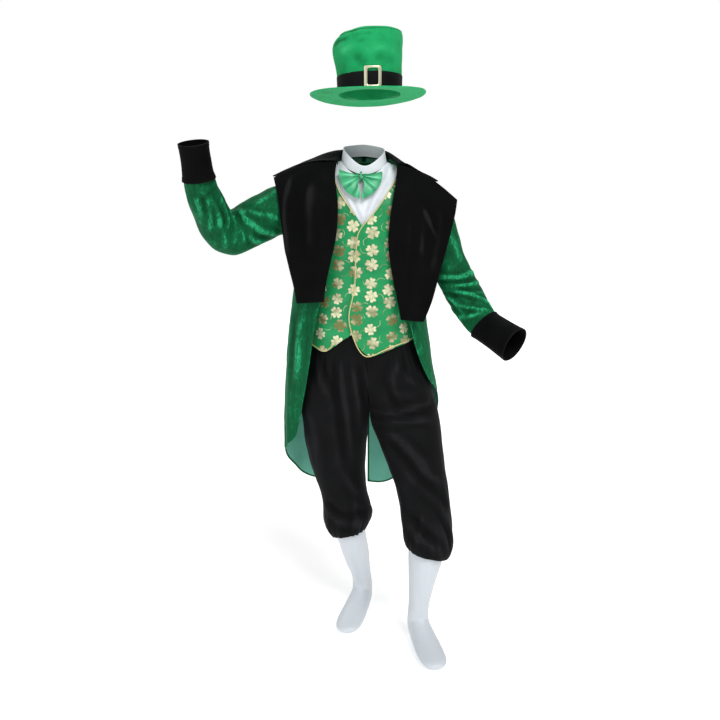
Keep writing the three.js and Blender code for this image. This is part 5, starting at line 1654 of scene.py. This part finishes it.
@dataclass
class Stockings:
    """White knit stockings with closed feet.

    Attributes:
        wall: The knit's thickness, in millimetres.
    """

    wall: float = 1.6

    def build(self, finishes: Finishes) -> None:
        """Makes both stockings.

        Args:
            finishes: The materials.
        """
        sides = {
            "left": (((202, -189, -1130), (181, -192, -1335), (177, -192, -1420), (223, -376, -1466)),
                     (0.30, 0.56, 0.14)),
            "right": (((-48, -82, -1110), (-12, -4, -1340), (-6, 12, -1420), (-61, -170, -1464)),
                      (0.30, 0.58, 0.145)),
        }
        for index, (side, (leg, cut)) in enumerate(sides.items()):
            ClothSheet(
                f"stocking_{side}", self.wall, leg, cut, Held.STRETCHED, finishes["White knit"],
                "white_knit", rests_on=(f"breeches_{side}",), crumple=Crumple(0.4, 45, 100 + index),
                level=2, hem=0.3,
            ).build()


@dataclass
class Studio:
    """The camera, the lights and the pale floor.

    Attributes:
        eye: Where the camera stands, in metres.
        pitch: How far it looks down, in degrees.
        lens: Its focal length, in millimetres.
        shift: How far the picture is moved on the sensor.
    """

    eye: Point = (0.0, -2.6, 0.0)
    pitch: float = 12.0
    lens: float = 40.43
    shift: tuple[float, float] = (-0.0056, -0.0142)

    def _camera(self) -> None:
        """Adds the camera at the photograph's angle."""
        bpy.ops.object.camera_add(location=self.eye, rotation=(math.radians(90 - self.pitch), 0, 0))
        camera = bpy.context.active_object
        camera.data.lens = self.lens
        camera.data.sensor_width = 36.0
        camera.data.shift_x, camera.data.shift_y = self.shift
        bpy.context.scene.camera = camera

    def _lights(self) -> None:
        """Adds three soft suns: the key, the fill and one from behind."""
        for name, energy, pitch, heading, size in (
            ("Key", 2.0, 42, 30, 30), ("Fill", 0.75, 62, -42, 60), ("Back", 0.8, -45, 10, 40),
        ):
            bpy.ops.object.light_add(type="SUN", rotation=(math.radians(pitch), 0, math.radians(heading)))
            light = bpy.context.active_object
            light.name = name
            light.data.energy = energy
            light.data.angle = math.radians(size)

    def _world(self) -> None:
        """Shows plain white behind and lights softly from all round."""
        world = bpy.data.worlds.new("Studio")
        bpy.context.scene.world = world
        world.use_nodes = True
        world.node_tree.nodes.clear()
        graph = Graph(world.node_tree)
        seen = graph.add("ShaderNodeLightPath").outputs["Is Camera Ray"]
        strength = (Value(graph, seen) * 0.68) + 0.32
        background = graph.add("ShaderNodeBackground", {"Color": (1.0, 1.0, 1.0), "Strength": strength})
        graph.add("ShaderNodeOutputWorld", {"Surface": background.outputs["Background"]})

    def _floor(self) -> None:
        """Lays a pale floor just under the lowest stitch."""
        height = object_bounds()[0].z - MM
        bpy.ops.mesh.primitive_plane_add(size=14.0, location=(0, 0, height))
        floor = bpy.context.active_object
        floor.name = "Floor"
        material, graph = new_material("Floor")
        mottle = graph.noise((1.0, 1.0, 1.0), detail=1.0)
        graph.surface({
            "Base Color": (0.88, 0.88, 0.88),
            "Roughness": (mottle * 0.05) + 0.9,
            "Emission Color": (1.0, 1.0, 1.0),
            "Emission Strength": 0.4,
        })
        floor.data.materials.append(material)
        floor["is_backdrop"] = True

    def build(self) -> None:
        """Adds everything that isn't the costume."""
        self._camera()
        self._lights()
        self._world()
        self._floor()
        bpy.context.scene.view_settings.view_transform = "Standard"


def main() -> None:
    """Builds the costume piece by piece, then the studio."""
    logging.basicConfig(level=logging.INFO, format="%(name)s %(message)s")
    finishes = Finishes()
    finishes.build()
    for part in (Hat(), Tailcoat(), Waistcoat(), ShirtAndBow(), Breeches(), Stockings()):
        part.build(finishes)
        log.info("built %s", type(part).__name__)
    Studio().build()


if __name__ == "__main__":
    main()
